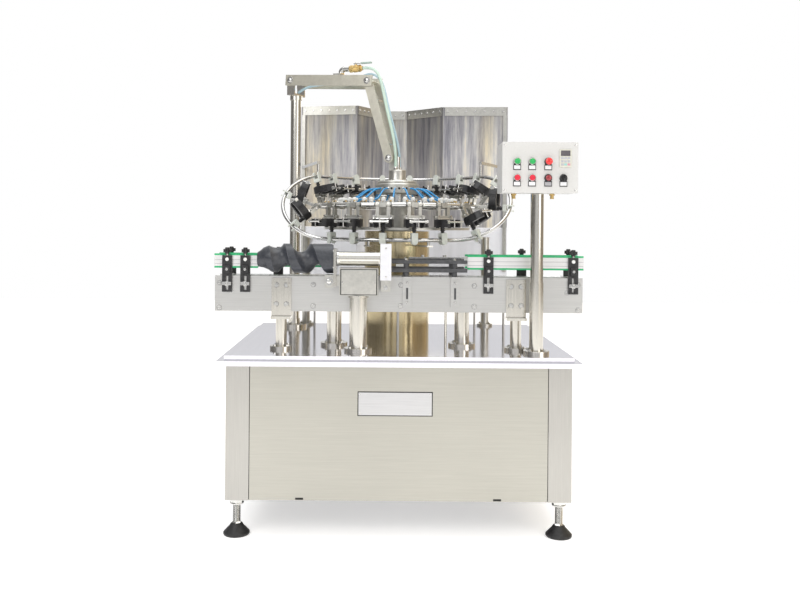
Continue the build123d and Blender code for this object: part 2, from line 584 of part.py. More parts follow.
FRONT_STAY_ANGLES = (-19.5, 19.5)
FRONT_STAY_Z = 1091.0
BACK_STAYS = ((-1, -112), (1, 104))
BACK_STAY_Z = 1470.0
STAY_SECTION = 14.0
with BuildPart() as rail_stays:
    for angle in FRONT_STAY_ANGLES:
        with Locations(Location(around((COLUMN_RADIUS + 385) / 2, angle, FRONT_STAY_Z), (0, 0, angle - 90))):
            Box(385 - COLUMN_RADIUS + 10, 27, 6)
        with Locations(around(PIVOT_RADIUS, angle, FRONT_STAY_Z + 14)):
            Cylinder(6, 26)
    for side, angle in BACK_STAYS:
        rail_x, rail_y, rail_z = around(402, angle, 1401)
        end_plane = guard_end_plane(side)
        start = Vector(rail_x, rail_y, BACK_STAY_Z)
        run = end_plane.origin + Vector(0, 0, BACK_STAY_Z) - start
        heading = math.degrees(math.atan2(run.Y, run.X))
        with Locations(Location(start + run / 2, (0, 0, heading))):
            Box(run.length + STAY_SECTION, STAY_SECTION, STAY_SECTION)
        with Locations((rail_x, rail_y, (BACK_STAY_Z + rail_z) / 2)):
            Cylinder(6, BACK_STAY_Z - rail_z)
        with BuildSketch(end_plane.offset(BACK_STAY_Z - STAY_SECTION)):
            with Locations((0, STAY_SECTION)):
                Rectangle(4 * STAY_SECTION, 2 * STAY_SECTION)
        extrude(amount=2 * STAY_SECTION, mode=Mode.SUBTRACT)
    with Locations((0, 0, FRONT_STAY_Z)):
        Cylinder(COLUMN_RADIUS, 60, mode=Mode.SUBTRACT)
    add(flip_rail.part, mode=Mode.SUBTRACT)
rail_stays.part.label = "rail_stays"
export_step(rail_stays.part, "parts/rail_stays.step")

TRAY_RADIUS = 495.0
TRAY_LOW_Z = 848.0
TRAY_TOP_Z = 880.0
TRAY_HOLE = 150.0
TRAY_FRONT_Y = -378.0
TRAY_RODS = ((0, -370), (375, 181), (-384, 139), (480, -52))
with BuildPart() as drip_tray:
    with Locations((0, 0, (TRAY_LOW_Z + TRAY_TOP_Z) / 2)):
        Cylinder(TRAY_RADIUS, TRAY_TOP_Z - TRAY_LOW_Z)
        Cylinder(TRAY_HOLE, TRAY_TOP_Z - TRAY_LOW_Z, mode=Mode.SUBTRACT)
    with Locations((0, 2 * TRAY_FRONT_Y, TRAY_LOW_Z)):
        Box(3 * TRAY_RADIUS, -2 * TRAY_FRONT_Y, 200, mode=Mode.SUBTRACT)
    with BuildSketch(Plane.XY.offset(TRAY_LOW_Z + SHEET)):
        Circle(TRAY_RADIUS - SHEET)
        Circle(TRAY_HOLE + SHEET, mode=Mode.SUBTRACT)
        with Locations((0, 2 * TRAY_FRONT_Y + SHEET)):
            Rectangle(3 * TRAY_RADIUS, -2 * TRAY_FRONT_Y, mode=Mode.SUBTRACT)
    extrude(amount=TRAY_TOP_Z - TRAY_LOW_Z, mode=Mode.SUBTRACT)
    with Locations([(x, y, (TRAY_LOW_Z + TABLE_TOP_Z) / 2) for x, y in TRAY_RODS]):
        Cylinder(5, TRAY_LOW_Z - TABLE_TOP_Z)
drip_tray.part.label = "drip_tray"
export_step(drip_tray.part, "parts/drip_tray.step")

# ---------------------------------------------------------------- overhead arm
ARM_X_DIR = (-ARM_POST_X / ARM_REACH, -ARM_POST_Y / ARM_REACH, 0)
ARM_PLANE = Plane(origin=(ARM_POST_X, ARM_POST_Y, 0), x_dir=ARM_X_DIR, z_dir=(ARM_X_DIR[1], -ARM_X_DIR[0], 0))
BEAM_START = (0, BEAM_START_Z)
ELBOW = (ELBOW_S, ELBOW_Z)
WRIST = (WRIST_S, WRIST_Z)
BEAM_WIDTH = 50.0
LINK_WIDTH = 42.0
BEAM_INSIDE = 52.0
BEAM_OUTSIDE = 58.0
LINK_INSIDE = 44.0
LINK_OUTSIDE = 50.0


def arm_point(along, sideways, z):
    """World point at a distance along the arm and sideways of its plane (front positive)."""
    place = ARM_PLANE.origin + ARM_PLANE.x_dir * along + ARM_PLANE.z_dir * sideways + Vector(0, 0, z)
    return (place.X, place.Y, place.Z)


def strap_face(start, end, offset, square):
    """Plate profile from pin to pin at an offset from the arm's plane, square or round at its ends."""
    span = math.hypot(end[0] - start[0], end[1] - start[1])
    slope = math.degrees(math.atan2(end[1] - start[1], end[0] - start[0]))
    middle = ((start[0] + end[0]) / 2, (start[1] + end[1]) / 2)
    with BuildSketch(ARM_PLANE.offset(offset)) as face:
        with Locations(middle):
            if square:
                Rectangle(span + BEAM_WIDTH, BEAM_WIDTH, rotation=slope)
            else:
                SlotCenterToCenter(span, LINK_WIDTH, rotation=slope)
    return face.sketch


def pin_face(centre, radius, half_length):
    """End face of a round bar that crosses the arm's plane."""
    with BuildSketch(ARM_PLANE.offset(-half_length)) as face:
        with Locations(centre):
            Circle(radius)
    return face.sketch


PIN_HOLE = ARM_PIN + ARM_PIN_CLEARANCE
BEAM_PIN_HALF = BEAM_OUTSIDE + 6
LINK_PIN_HALF = LINK_OUTSIDE + 6
ARM_POST_TOP = 1793.0
CLEVIS_TOP = 1884.0
CLEVIS_BASE = 8.0
CLEVIS_WIDTH = 40.0
CLEVIS_INSIDE = 44.0
with BuildPart() as arm_post:
    with Locations((ARM_POST_X, ARM_POST_Y, (ARM_POST_TOP + TABLE_TOP_Z) / 2)):
        Cylinder(25, ARM_POST_TOP - TABLE_TOP_Z)
    with Locations((ARM_POST_X, ARM_POST_Y, TABLE_TOP_Z + 7.5)):
        Cylinder(60, 15)
    for half_width, low_z, mode in (
        (BEAM_INSIDE - JOINT_GAP, ARM_POST_TOP, Mode.ADD),
        (CLEVIS_INSIDE, ARM_POST_TOP + CLEVIS_BASE, Mode.SUBTRACT),
    ):
        with BuildSketch(ARM_PLANE.offset(-half_width)):
            with Locations((0, (low_z + CLEVIS_TOP) / 2)):
                Rectangle(CLEVIS_WIDTH, CLEVIS_TOP - low_z)
        extrude(amount=2 * half_width, mode=mode)
    extrude(pin_face(BEAM_START, PIN_HOLE, BEAM_OUTSIDE), amount=2 * BEAM_OUTSIDE, mode=Mode.SUBTRACT)
arm_post.part.label = "arm_post"
export_step(arm_post.part, "parts/arm_post.step")

with BuildPart() as arm_beam:
    for plate_low in (BEAM_INSIDE, -BEAM_OUTSIDE):
        extrude(strap_face(BEAM_START, ELBOW, plate_low, True), amount=BEAM_OUTSIDE - BEAM_INSIDE)
    extrude(pin_face(BEAM_START, ARM_PIN, BEAM_PIN_HALF), amount=2 * BEAM_PIN_HALF)
    extrude(pin_face(ELBOW, PIN_HOLE, BEAM_OUTSIDE), amount=2 * BEAM_OUTSIDE, mode=Mode.SUBTRACT)
arm_beam.part.label = "arm_beam"
export_step(arm_beam.part, "parts/arm_beam.step")

LINK_TIES = ((428, 1749), (489.5, 1545))
with BuildPart() as arm_link:
    for plate_low in (LINK_INSIDE, -LINK_OUTSIDE):
        extrude(strap_face(ELBOW, WRIST, plate_low, False), amount=LINK_OUTSIDE - LINK_INSIDE)
    for pin_centre in (ELBOW, WRIST):
        extrude(pin_face(pin_centre, ARM_PIN, LINK_PIN_HALF), amount=2 * LINK_PIN_HALF)
    for tie in LINK_TIES:
        extrude(pin_face(tie, 4, LINK_OUTSIDE), amount=2 * LINK_OUTSIDE)
arm_link.part.label = "arm_link"
export_step(arm_link.part, "parts/arm_link.step")

CAP_FLANGE_TOP = 1378.0
CAP_TOP = 1428.0
with BuildPart() as distributor_cap:
    cap_low = ROTOR_TOP_Z + JOINT_GAP
    with Locations((0, 0, (cap_low + CAP_FLANGE_TOP) / 2)):
        Cylinder(90, CAP_FLANGE_TOP - cap_low)
    with Locations((0, 0, (CAP_FLANGE_TOP + CAP_TOP) / 2)):
        Cylinder(40, CAP_TOP - CAP_FLANGE_TOP)
    with Locations((0, 0, (CAP_TOP + 1487) / 2)):
        Cylinder(12, 1487 - CAP_TOP)
    with BuildSketch(ARM_PLANE.offset(-8)):
        with Locations((WRIST_S + 7, (CAP_TOP + 1500) / 2)):
            Rectangle(44, 1500 - CAP_TOP)
    extrude(amount=16)
    extrude(pin_face(WRIST, PIN_HOLE, BEAM_OUTSIDE), amount=2 * BEAM_OUTSIDE, mode=Mode.SUBTRACT)
distributor_cap.part.label = "distributor_cap"
export_step(distributor_cap.part, "parts/distributor_cap.step")

# ---------------------------------------------------------------- rinse water supply
RISER_S = 243.0
PIPE_Z = 1905.0
PIPE_RADIUS = 12.5
ELBOW_BODY = 16.0
VALVE_S = 318.0
VALVE_SIZE = 36.0
OVERALL_TOP_Z = 1932.0
with BuildPart(ARM_PLANE) as water_pipe:
    with Locations((RISER_S, 1868, 0)):
        Box(36, 24, 2 * BEAM_INSIDE)
    with Locations((RISER_S, (PIPE_Z + 1870) / 2, 0)):
        Cylinder(PIPE_RADIUS, PIPE_Z - 1870, rotation=ALONG_Y)
    with Locations((RISER_S, PIPE_Z, 0)):
        Cylinder(ELBOW_BODY, 2 * ELBOW_BODY, rotation=ALONG_Y)
    with Locations(((RISER_S + VALVE_S) / 2, PIPE_Z, 0)):
        Cylinder(PIPE_RADIUS, VALVE_S - RISER_S, rotation=ALONG_X)
    with Locations((VALVE_S, PIPE_Z, 0)):
        Box(VALVE_SIZE, VALVE_SIZE, VALVE_SIZE)
    with Locations((VALVE_S + 26, PIPE_Z, 0)):
        Cylinder(11, 20, rotation=ALONG_X)
water_pipe.part.label = "water_pipe"
export_step(water_pipe.part, "parts/water_pipe.step")

VALVE_TOP = PIPE_Z + VALVE_SIZE / 2
with BuildPart(ARM_PLANE) as valve_lever:
    with Locations((VALVE_S, (VALVE_TOP + OVERALL_TOP_Z) / 2 + 0.2, 0)):
        Cylinder(7, OVERALL_TOP_Z - VALVE_TOP - 0.4, rotation=ALONG_Y)
    with Locations((VALVE_S + 35, OVERALL_TOP_Z - 3, 0)):
        Box(92, 6, 16)
valve_lever.part.label = "valve_lever"
export_step(valve_lever.part, "parts/valve_lever.step")

SUPPLY_HOSE = [
    (355, 0, 1905), (384, 1, 1905), (415, 5, 1895), (440, 8, 1868), (455, 11, 1826), (468, 14, 1776),
    (482, 17, 1720), (497, 19, 1664), (513, 21, 1608), (526, 23, 1552), (533, 24, 1500), (534, 24, 1460),
    (534, 24, 1428),
]
RETURN_HOSE = [
    (12, 0, 1809), (28, 0, 1818), (54, 0, 1830), (98, -1, 1839), (155, -2, 1841), (210, -3, 1839), (262, -4, 1839),
    (312, -6, 1848), (352, -12, 1872), (396, -14, 1880), (438, -16, 1854), (460, -17, 1796), (472, -19, 1738),
    (487, -20, 1682), (503, -21, 1626), (518, -23, 1570), (530, -24, 1514), (534, -24, 1468), (534, -24, 1428),
]
with BuildPart() as water_hoses:
    for hose_radius, run in ((7, SUPPLY_HOSE), (6, RETURN_HOSE)):
        route = [arm_point(*place) for place in run]
        with BuildLine() as hose_line:
            FilletPolyline(*route, radius=bend_radii(route))
        with BuildSketch(Plane(origin=hose_line.line @ 0, z_dir=hose_line.line % 0)):
            Circle(hose_radius)
        sweep(path=hose_line.line)
water_hoses.part.label = "water_hoses"
export_step(water_hoses.part, "parts/water_hoses.step")

# ---------------------------------------------------------------- splash guard
with BuildPart() as splash_guard:
    for span_plane, length in guard_spans():
        for low, high, thick in ((GUARD_LOW_Z, GUARD_TOP_Z, SHEET), (SKIRT_LOW_Z, GUARD_LOW_Z - 2, 2)):
            with BuildSketch(span_plane.offset(low)):
                with Locations((0, thick / 2)):
                    Rectangle(length - SHEET_TRIM, thick)
            extrude(amount=high - low)
splash_guard.part.label = "splash_guard"
export_step(splash_guard.part, "parts/splash_guard.step")

STRIP_THICKNESS = 4.0
STIFFENER = 16.0
BACK_SPAN = 2
END_MEMBER_LOW_Z = 940.0
GUARD_POST_RADIUS = 20.0
GUARD_POST_TOP = 1120.0
ARM_HEIGHTS = (960, 1095)
LEFT_ARM_END = 531.0
RIGHT_ARM_END = 505.0
with BuildPart() as guard_frame:
    for index, (span_plane, length) in enumerate(guard_spans()):
        with BuildSketch(span_plane.offset(GUARD_TOP_Z - GUARD_STRIP_HEIGHT)):
            with Locations((0, -STRIP_THICKNESS / 2)):
                Rectangle(length - 3 * SHEET_TRIM, STRIP_THICKNESS)
            if index == BACK_SPAN:
                with Locations((0, SHEET + STIFFENER / 2)):
                    Rectangle(length - 3 * SHEET_TRIM, STIFFENER)
        extrude(amount=GUARD_STRIP_HEIGHT)
    for side in (-1, 1):
        with BuildSketch(guard_end_plane(side).offset(END_MEMBER_LOW_Z)):
            with Locations((0, END_MEMBER_DEPTH / 2)):
                Rectangle(END_MEMBER_WIDTH, END_MEMBER_DEPTH)
        extrude(amount=GUARD_TOP_Z - GUARD_STRIP_HEIGHT - END_MEMBER_LOW_Z)
    for post_x, arm_end in ((-GUARD_POST_X, LEFT_ARM_END), (GUARD_POST_X, RIGHT_ARM_END)):
        with Locations((post_x, GUARD_POST_Y, (GUARD_POST_TOP + TABLE_TOP_Z) / 2)):
            Cylinder(GUARD_POST_RADIUS, GUARD_POST_TOP - TABLE_TOP_Z)
        with Locations((post_x, GUARD_POST_Y, TABLE_TOP_Z + 5)):
            Cylinder(38, 10)
        for arm_z in ARM_HEIGHTS:
            with Locations((post_x, (GUARD_POST_Y + arm_end) / 2, arm_z)):
                Box(20, arm_end - GUARD_POST_Y, 20)
guard_frame.part.label = "guard_frame"
export_step(guard_frame.part, "parts/guard_frame.step")

# ---------------------------------------------------------------- control box on its post
BOX_MID_X = (BOX_LEFT + BOX_RIGHT) / 2
BOX_MID_Z = (BOX_LOW + BOX_TOP) / 2
BOX_MID_Y = BOX_FRONT + BOX_DEPTH / 2
DEVICE_COLUMNS = (442.0, 499.0, 560.0, 618.0)
UPPER_ROW_Z = 1424.0
LOWER_ROW_Z = 1362.0
UPPER_DEVICES = [(x, UPPER_ROW_Z) for x in DEVICE_COLUMNS[:3]]
LOWER_DEVICES = [(x, LOWER_ROW_Z) for x in DEVICE_COLUMNS]
with BuildPart() as control_post:
    with Locations((CONTROL_POST_X, CONTROL_POST_Y, (BOX_LOW + TABLE_TOP_Z) / 2)):
        Cylinder(25, BOX_LOW - TABLE_TOP_Z)
    with Locations((CONTROL_POST_X, CONTROL_POST_Y, (960 + TABLE_TOP_Z) / 2)):
        Cylinder(27, 960 - TABLE_TOP_Z)
    with Locations((CONTROL_POST_X, CONTROL_POST_Y, TABLE_TOP_Z + 6)):
        Cylinder(50, 12)
control_post.part.label = "control_post"
export_step(control_post.part, "parts/control_post.step")

with BuildPart() as control_box:
    with Locations((BOX_MID_X, BOX_MID_Y, BOX_MID_Z)):
        Box(BOX_RIGHT - BOX_LEFT, BOX_DEPTH, BOX_TOP - BOX_LOW)
        Box(
            BOX_RIGHT - BOX_LEFT - 2 * BOX_WALL,
            BOX_DEPTH - 2 * BOX_WALL,
            BOX_TOP - BOX_LOW - 2 * BOX_WALL,
            mode=Mode.SUBTRACT,
        )
    with Locations([(x, BOX_FRONT, z) for x, z in UPPER_DEVICES + LOWER_DEVICES]):
        Cylinder(DEVICE_HOLE, 4 * BOX_WALL, rotation=ALONG_Y, mode=Mode.SUBTRACT)
control_box.part.label = "control_box"
export_step(control_box.part, "parts/control_box.step")

LAMP = (560.0, LOWER_ROW_Z)
KEYPAD = (625.0, 1436.0)
with BuildPart() as control_fittings:
    with Locations([(x, BOX_FRONT - BEZEL_DEPTH / 2, z) for x, z in UPPER_DEVICES + LOWER_DEVICES]):
        Cylinder(BEZEL_OUTER, BEZEL_DEPTH, rotation=ALONG_Y)
        Cylinder(BEZEL_INNER, 2 * BEZEL_DEPTH, rotation=ALONG_Y, mode=Mode.SUBTRACT)
    with Locations([(x, BOX_FRONT - 1, z - 22) for x, z in UPPER_DEVICES + LOWER_DEVICES]):
        Box(29, 2, 16)
    with Locations((LAMP[0], BOX_FRONT - 8, LAMP[1])):
        Cylinder(BEZEL_INNER, 16, rotation=ALONG_Y)
    with Locations((KEYPAD[0], BOX_FRONT - 3, KEYPAD[1])):
        Box(45, 6, 68)
    corner_spots = [(BOX_MID_X + dx, BOX_FRONT - 1.5, BOX_MID_Z + dz) for dx in (-134, 134) for dz in (-87, 87)]
    with Locations(corner_spots):
        Cylinder(4.5, 3, rotation=ALONG_Y)
    with Locations([(x, BOX_MID_Y, BOX_LOW - 11) for x in (441, 590)]):
        Cylinder(10, 22)
control_fittings.part.label = "control_fittings"
export_step(control_fittings.part, "parts/control_fittings.step")

BUTTON_RADIUS = 11.0
BUTTON_FACE_Y = BOX_FRONT - 18.0
BUTTON_BACK_Y = BOX_FRONT - 5.0
BUTTON_STEM = 8.0
STEM_END_Y = BOX_FRONT + 10.0
BUTTONS = {
    "start_button_left": UPPER_DEVICES[0],
    "start_button_right": UPPER_DEVICES[1],
    "stop_button_left": LOWER_DEVICES[0],
    "stop_button_right": LOWER_DEVICES[1],
}
for button_name, (button_x, button_z) in BUTTONS.items():
    with BuildPart() as button:
        with Locations((button_x, (BUTTON_FACE_Y + BUTTON_BACK_Y) / 2, button_z)):
            Cylinder(BUTTON_RADIUS, BUTTON_BACK_Y - BUTTON_FACE_Y, rotation=ALONG_Y)
        with Locations((button_x, (BUTTON_BACK_Y + STEM_END_Y) / 2, button_z)):
            Cylinder(BUTTON_STEM, STEM_END_Y - BUTTON_BACK_Y, rotation=ALONG_Y)
    button.part.label = button_name
    export_step(button.part, f"parts/{button_name}.step")

STOP_HEAD = 13.5
STOP_TRAVEL_ROOM = 6.0
with BuildPart() as emergency_stop:
    stop_x, stop_z = UPPER_DEVICES[2]
    head_back_y = BOX_FRONT - BEZEL_DEPTH - STOP_TRAVEL_ROOM
    with Locations((stop_x, head_back_y - 6, stop_z)):
        Cylinder(STOP_HEAD, 12, rotation=ALONG_Y)
    with Locations((stop_x, (head_back_y + STEM_END_Y) / 2, stop_z)):
        Cylinder(BUTTON_STEM, STEM_END_Y - head_back_y, rotation=ALONG_Y)
emergency_stop.part.label = "emergency_stop"
export_step(emergency_stop.part, "parts/emergency_stop.step")

with BuildPart() as selector_knob:
    knob_x, knob_z = LOWER_DEVICES[3]
    with Locations((knob_x, BOX_FRONT - 9, knob_z)):
        Cylinder(BUTTON_RADIUS, 8, rotation=ALONG_Y)
    with Locations((knob_x, BOX_FRONT - 18, knob_z)):
        Box(8, 12, 21)
    with Locations((knob_x, BOX_FRONT + 2.5, knob_z)):
        Cylinder(BUTTON_STEM, 15, rotation=ALONG_Y)
selector_knob.part.label = "selector_knob"
export_step(selector_knob.part, "parts/selector_knob.step")
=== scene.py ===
"""Looks of the rotary bottle rinser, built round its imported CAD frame. Metres, +Z up."""
from math import cos, log, pi, radians, sin, sqrt

import bmesh
import bpy
from mathutils import Matrix, Vector


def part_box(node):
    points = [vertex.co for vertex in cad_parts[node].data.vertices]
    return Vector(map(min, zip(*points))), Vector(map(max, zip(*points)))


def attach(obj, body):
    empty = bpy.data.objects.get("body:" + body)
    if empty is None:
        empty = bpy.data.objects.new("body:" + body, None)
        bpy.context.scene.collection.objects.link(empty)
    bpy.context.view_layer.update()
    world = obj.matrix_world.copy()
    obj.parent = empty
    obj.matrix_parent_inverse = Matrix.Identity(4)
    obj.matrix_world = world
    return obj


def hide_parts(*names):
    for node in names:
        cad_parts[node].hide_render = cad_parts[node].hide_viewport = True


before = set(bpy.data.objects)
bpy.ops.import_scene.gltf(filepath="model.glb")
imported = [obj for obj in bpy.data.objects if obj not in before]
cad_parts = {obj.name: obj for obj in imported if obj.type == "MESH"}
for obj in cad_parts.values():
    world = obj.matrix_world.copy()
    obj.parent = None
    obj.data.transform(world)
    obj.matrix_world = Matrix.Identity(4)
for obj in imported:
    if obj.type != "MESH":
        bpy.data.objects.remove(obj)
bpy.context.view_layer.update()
MM = 0.001
X, Y, Z = Vector((1, 0, 0)), Vector((0, 1, 0)), Vector((0, 0, 1))

# ---- camera, lamps and floor
CAMERA_PLACE = (-0.067, -3.874, 1.184)
CAMERA_ROLL = radians(-0.45)
LENS, SENSOR = 38.25, 36.0
SHIFT = (0.022, -0.0956)
FLOOR_HALF = 9.0
FLOOR_GLOW = 0.45
# places on a scale of -1 to 1 up the sky, and from left to right round it, with their colours
SKY_HEIGHTS = [
    (0.25, (0.85, 0.84, 0.84)), (0.5, (0.62, 0.62, 0.63)), (0.62, (0.86, 0.86, 0.87)), (1.0, (1, 1, 1)),
]
SKY_SIDES = [
    (0.02, (0.16, 0.15, 0.14)), (0.13, (0.3, 0.29, 0.28)), (0.24, (1, 1, 1)), (0.62, (1, 1, 1)),
    (0.8, (1.0, 0.84, 0.58)), (0.9, (0.8, 0.62, 0.38)), (1.0, (0.45, 0.36, 0.26)),
]
scene = bpy.context.scene
scene.view_settings.view_transform = "Standard"


def show(name, data, place=(0, 0, 0)):
    """Puts an object with this data into the scene."""
    shown = bpy.data.objects.new(name, data)
    shown.location = place
    scene.collection.objects.link(shown)
    return shown


def camera():
    data = bpy.data.cameras.new("camera")
    data.lens, data.sensor_width = LENS, SENSOR
    data.shift_x, data.shift_y = SHIFT
    scene.camera = show("camera", data, CAMERA_PLACE)
    scene.camera.rotation_euler = (radians(90), CAMERA_ROLL, 0)


def area_light(name, place, target, size, power, colour=(1, 1, 1)):
    data = bpy.data.lights.new(name, "AREA")
    data.shape = "RECTANGLE"
    data.size, data.size_y = size
    data.energy, data.color = power, colour
    lamp = show(name, data, place)
    lamp.rotation_mode = "QUATERNION"
    lamp.rotation_quaternion = (Vector(target) - Vector(place)).to_track_quat("-Z", "Y")


camera()
area_light("key", (-2.6, -4.2, 3.6), (0, -0.2, 1.0), (2.4, 2.4), 62, (1.0, 0.99, 0.97))
area_light("fill", (3.2, -3.6, 2.2), (0, -0.2, 1.0), (2.2, 2.6), 34, (0.97, 0.98, 1.0))
area_light("top", (0.2, -0.4, 4.4), (0, 0, 1.0), (3.0, 3.0), 55)
area_light("rear", (0.6, 3.6, 3.0), (0, 0.3, 1.2), (2.6, 2.0), 45)


class Graph:
    """Adds nodes to a shader tree. An input given as a socket is linked; any other value is set on it."""

    def __init__(self, tree):
        self.nodes, self.links = tree.nodes, tree.links

    def feed(self, node, inputs):
        for name, value in inputs.items():
            if isinstance(value, bpy.types.NodeSocket):
                self.links.new(value, node.inputs[name])
            else:
                node.inputs[name].default_value = value
        return node

    def add(self, kind, inputs={}):
        return self.feed(self.nodes.new("ShaderNode" + kind), inputs)

    def noise(self, scale, stretch, detail, roughness):
        """Noise in the row frame, stretched by different amounts along X, Y and Z."""
        mapping = self.add("Mapping", {"Vector": self.add("TexCoord").outputs["Object"], "Scale": stretch})
        inputs = {"Vector": mapping.outputs[0], "Scale": scale, "Detail": detail, "Roughness": roughness}
        return self.add("TexNoise", inputs).outputs["Fac"]

    def ramp(self, source, stops):
        ramp = self.add("ValToRGB", {0: source})
        elements = ramp.color_ramp.elements
        for index in (0, -1):
            position, colour = stops[index]
            elements[index].position, elements[index].color = position, (*colour, 1)
        for position, colour in stops[1:-1]:
            elements.new(position).color = (*colour, 1)
        return ramp.outputs[0]

    def between(self, source, low, high):
        return self.add("MapRange", {"Value": source, "To Min": low, "To Max": high}).outputs[0]

    def mix(self, kind, factor, first, second):
        """Mixes two numbers, or multiplies two colours."""
        mix = self.nodes.new("ShaderNodeMix")
        mix.data_type = kind
        if kind == "RGBA":
            mix.blend_type = "MULTIPLY"
        return self.feed(mix, {"Factor": factor, "A": first, "B": second}).outputs["Result"]

    def bump(self, source, distance, strength):
        return self.add("Bump", {"Height": source, "Distance": distance, "Strength": strength}).outputs[0]


def world_light():
    """Bright even surround with a dark band to the left and a warm one to the right, for metal to show."""
    world = bpy.data.worlds.new("studio")
    world.use_nodes = True
    graph = Graph(world.node_tree)
    graph.nodes.clear()
    split = graph.add("SeparateXYZ", {0: graph.add("TexCoord").outputs["Generated"]})
    bands = []
    for axis, stops in (("Z", SKY_HEIGHTS), ("X", SKY_SIDES)):
        share = graph.add("MapRange", {"Value": split.outputs[axis], "From Min": -1.0, "From Max": 1.0})
        bands.append(graph.ramp(share.outputs[0], stops))
    lit = graph.add("Background", {"Color": graph.mix("RGBA", 0.85, *bands), "Strength": 0.95})
    shown = graph.add("Background", {"Color": (1, 1, 1, 1)})
    seen = graph.add("LightPath").outputs["Is Camera Ray"]
    mix = graph.add("MixShader", {0: seen, 1: lit.outputs[0], 2: shown.outputs[0]})
    graph.add("OutputWorld", {0: mix.outputs[0]})
    scene.world = world


world_light()


# ---- materials
def principled(name):
    material = bpy.data.materials.new(name)
    material.use_nodes = True
    graph = Graph(material.node_tree)
    return material, graph, graph.nodes["Principled BSDF"]


def brushed(name, dark, light, roughness, grain, scale, metallic=1.0, cloud=0.35):
    """Brushed stainless: fine grain lines along the short stretch, with broad soft cloudiness."""
    material, graph, shader = principled(name)
    fine = graph.noise(scale, grain, 6.0, 0.7)
    clouded = graph.mix("FLOAT", cloud, fine, graph.noise(2.2, (1, 1, 1), 3.0, 0.5))
    graph.feed(shader, {
        "Metallic": metallic,
        "Base Color": graph.ramp(clouded, [(0.3, dark), (0.7, light)]),
        "Roughness": graph.between(fine, *roughness),
        "Normal": graph.bump(fine, 0.0004, 0.25),
    })
    return material


def plain(name, colour, roughness, metallic=0.0, spread=0.06, bump=0.0, scale=40.0, coat=0.0):
    """Moulded, painted or cast surface with slight mottling and an even finish."""
    material, graph, shader = principled(name)
    mottle = graph.noise(scale, (1, 1, 1), 5.0, 0.6)
    dark = tuple(channel * (1 - spread) for channel in colour)
    light = tuple(min(channel * (1 + spread) + 0.01, 1) for channel in colour)
    graph.feed(shader, {
        "Metallic": metallic,
        "Coat Weight": coat,
        "Base Color": graph.ramp(mottle, [(0.35, dark), (0.65, light)]),
        "Roughness": graph.between(mottle, max(roughness - 0.06, 0.02), min(roughness + 0.08, 1)),
    })
    if bump:
        graph.feed(shader, {"Normal": graph.bump(mottle, bump, 0.4)})
    return material


GUARD_SHADES = (
    (0.33, (0.3, 0.3, 0.34)), (0.44, (0.54, 0.53, 0.55)),
    (0.54, (0.76, 0.75, 0.73)), (0.64, (1.0, 0.94, 0.8)),
)
GUARD_FADE = {"From Min": 1.45, "From Max": 1.76, "To Min": 1.0, "To Max": 0.55}


def guard_steel(name, tone, warmth):
    """Splash guard: upright streaks of dried water on satin sheet, darker towards the top, with the whole
    panel lightened or darkened by tone as painted light.
    """
    material, graph, shader = principled(name)
    streaks = graph.noise(5.0, (6, 6, 0.35), 8.0, 0.78)
    wide = graph.noise(2.0, (2.4, 2.4, 0.35), 3.0, 0.5)
    # tone scales the streak colours: painted light for this panel
    shades = [(level, tuple(tone * channel for channel in shade)) for level, shade in GUARD_SHADES]
    warm = (1.0, 1.0 - 0.07 * warmth, 1.0 - 0.22 * warmth)
    tint = graph.ramp(wide, [(0.35, (0.7, 0.7, 0.76)), (0.52, (1.0, 1.0, 1.0)), (0.68, warm)])
    split = graph.add("SeparateXYZ", {0: graph.add("TexCoord").outputs["Object"]})
    fade = graph.add("MapRange", {"Value": split.outputs["Z"], **GUARD_FADE})
    faded = graph.nodes.new("ShaderNodeVectorMath")
    faded.operation = "SCALE"
    blend = graph.mix("RGBA", 0.85, graph.ramp(streaks, shades), tint)
    graph.feed(faded, {0: blend, "Scale": fade.outputs[0]})
    graph.feed(shader, {
        "Metallic": 0.75,
        "Base Color": faded.outputs[0],
        "Roughness": graph.between(streaks, 0.3, 0.58),
        "Normal": graph.bump(streaks, 0.001, 0.3),
    })
    return material


def clear_plastic(name, colour, alpha, roughness):
    material, graph, shader = principled(name)
    streaks = graph.noise(4.0, (9, 9, 0.4), 4.0, 0.6)
    dark = tuple(channel * 0.9 for channel in colour)
    graph.feed(shader, {
        "Alpha": alpha,
        "Base Color": graph.ramp(streaks, [(0.3, dark), (0.7, colour)]),
        "Roughness": graph.between(streaks, roughness, roughness + 0.15),
    })
    return material


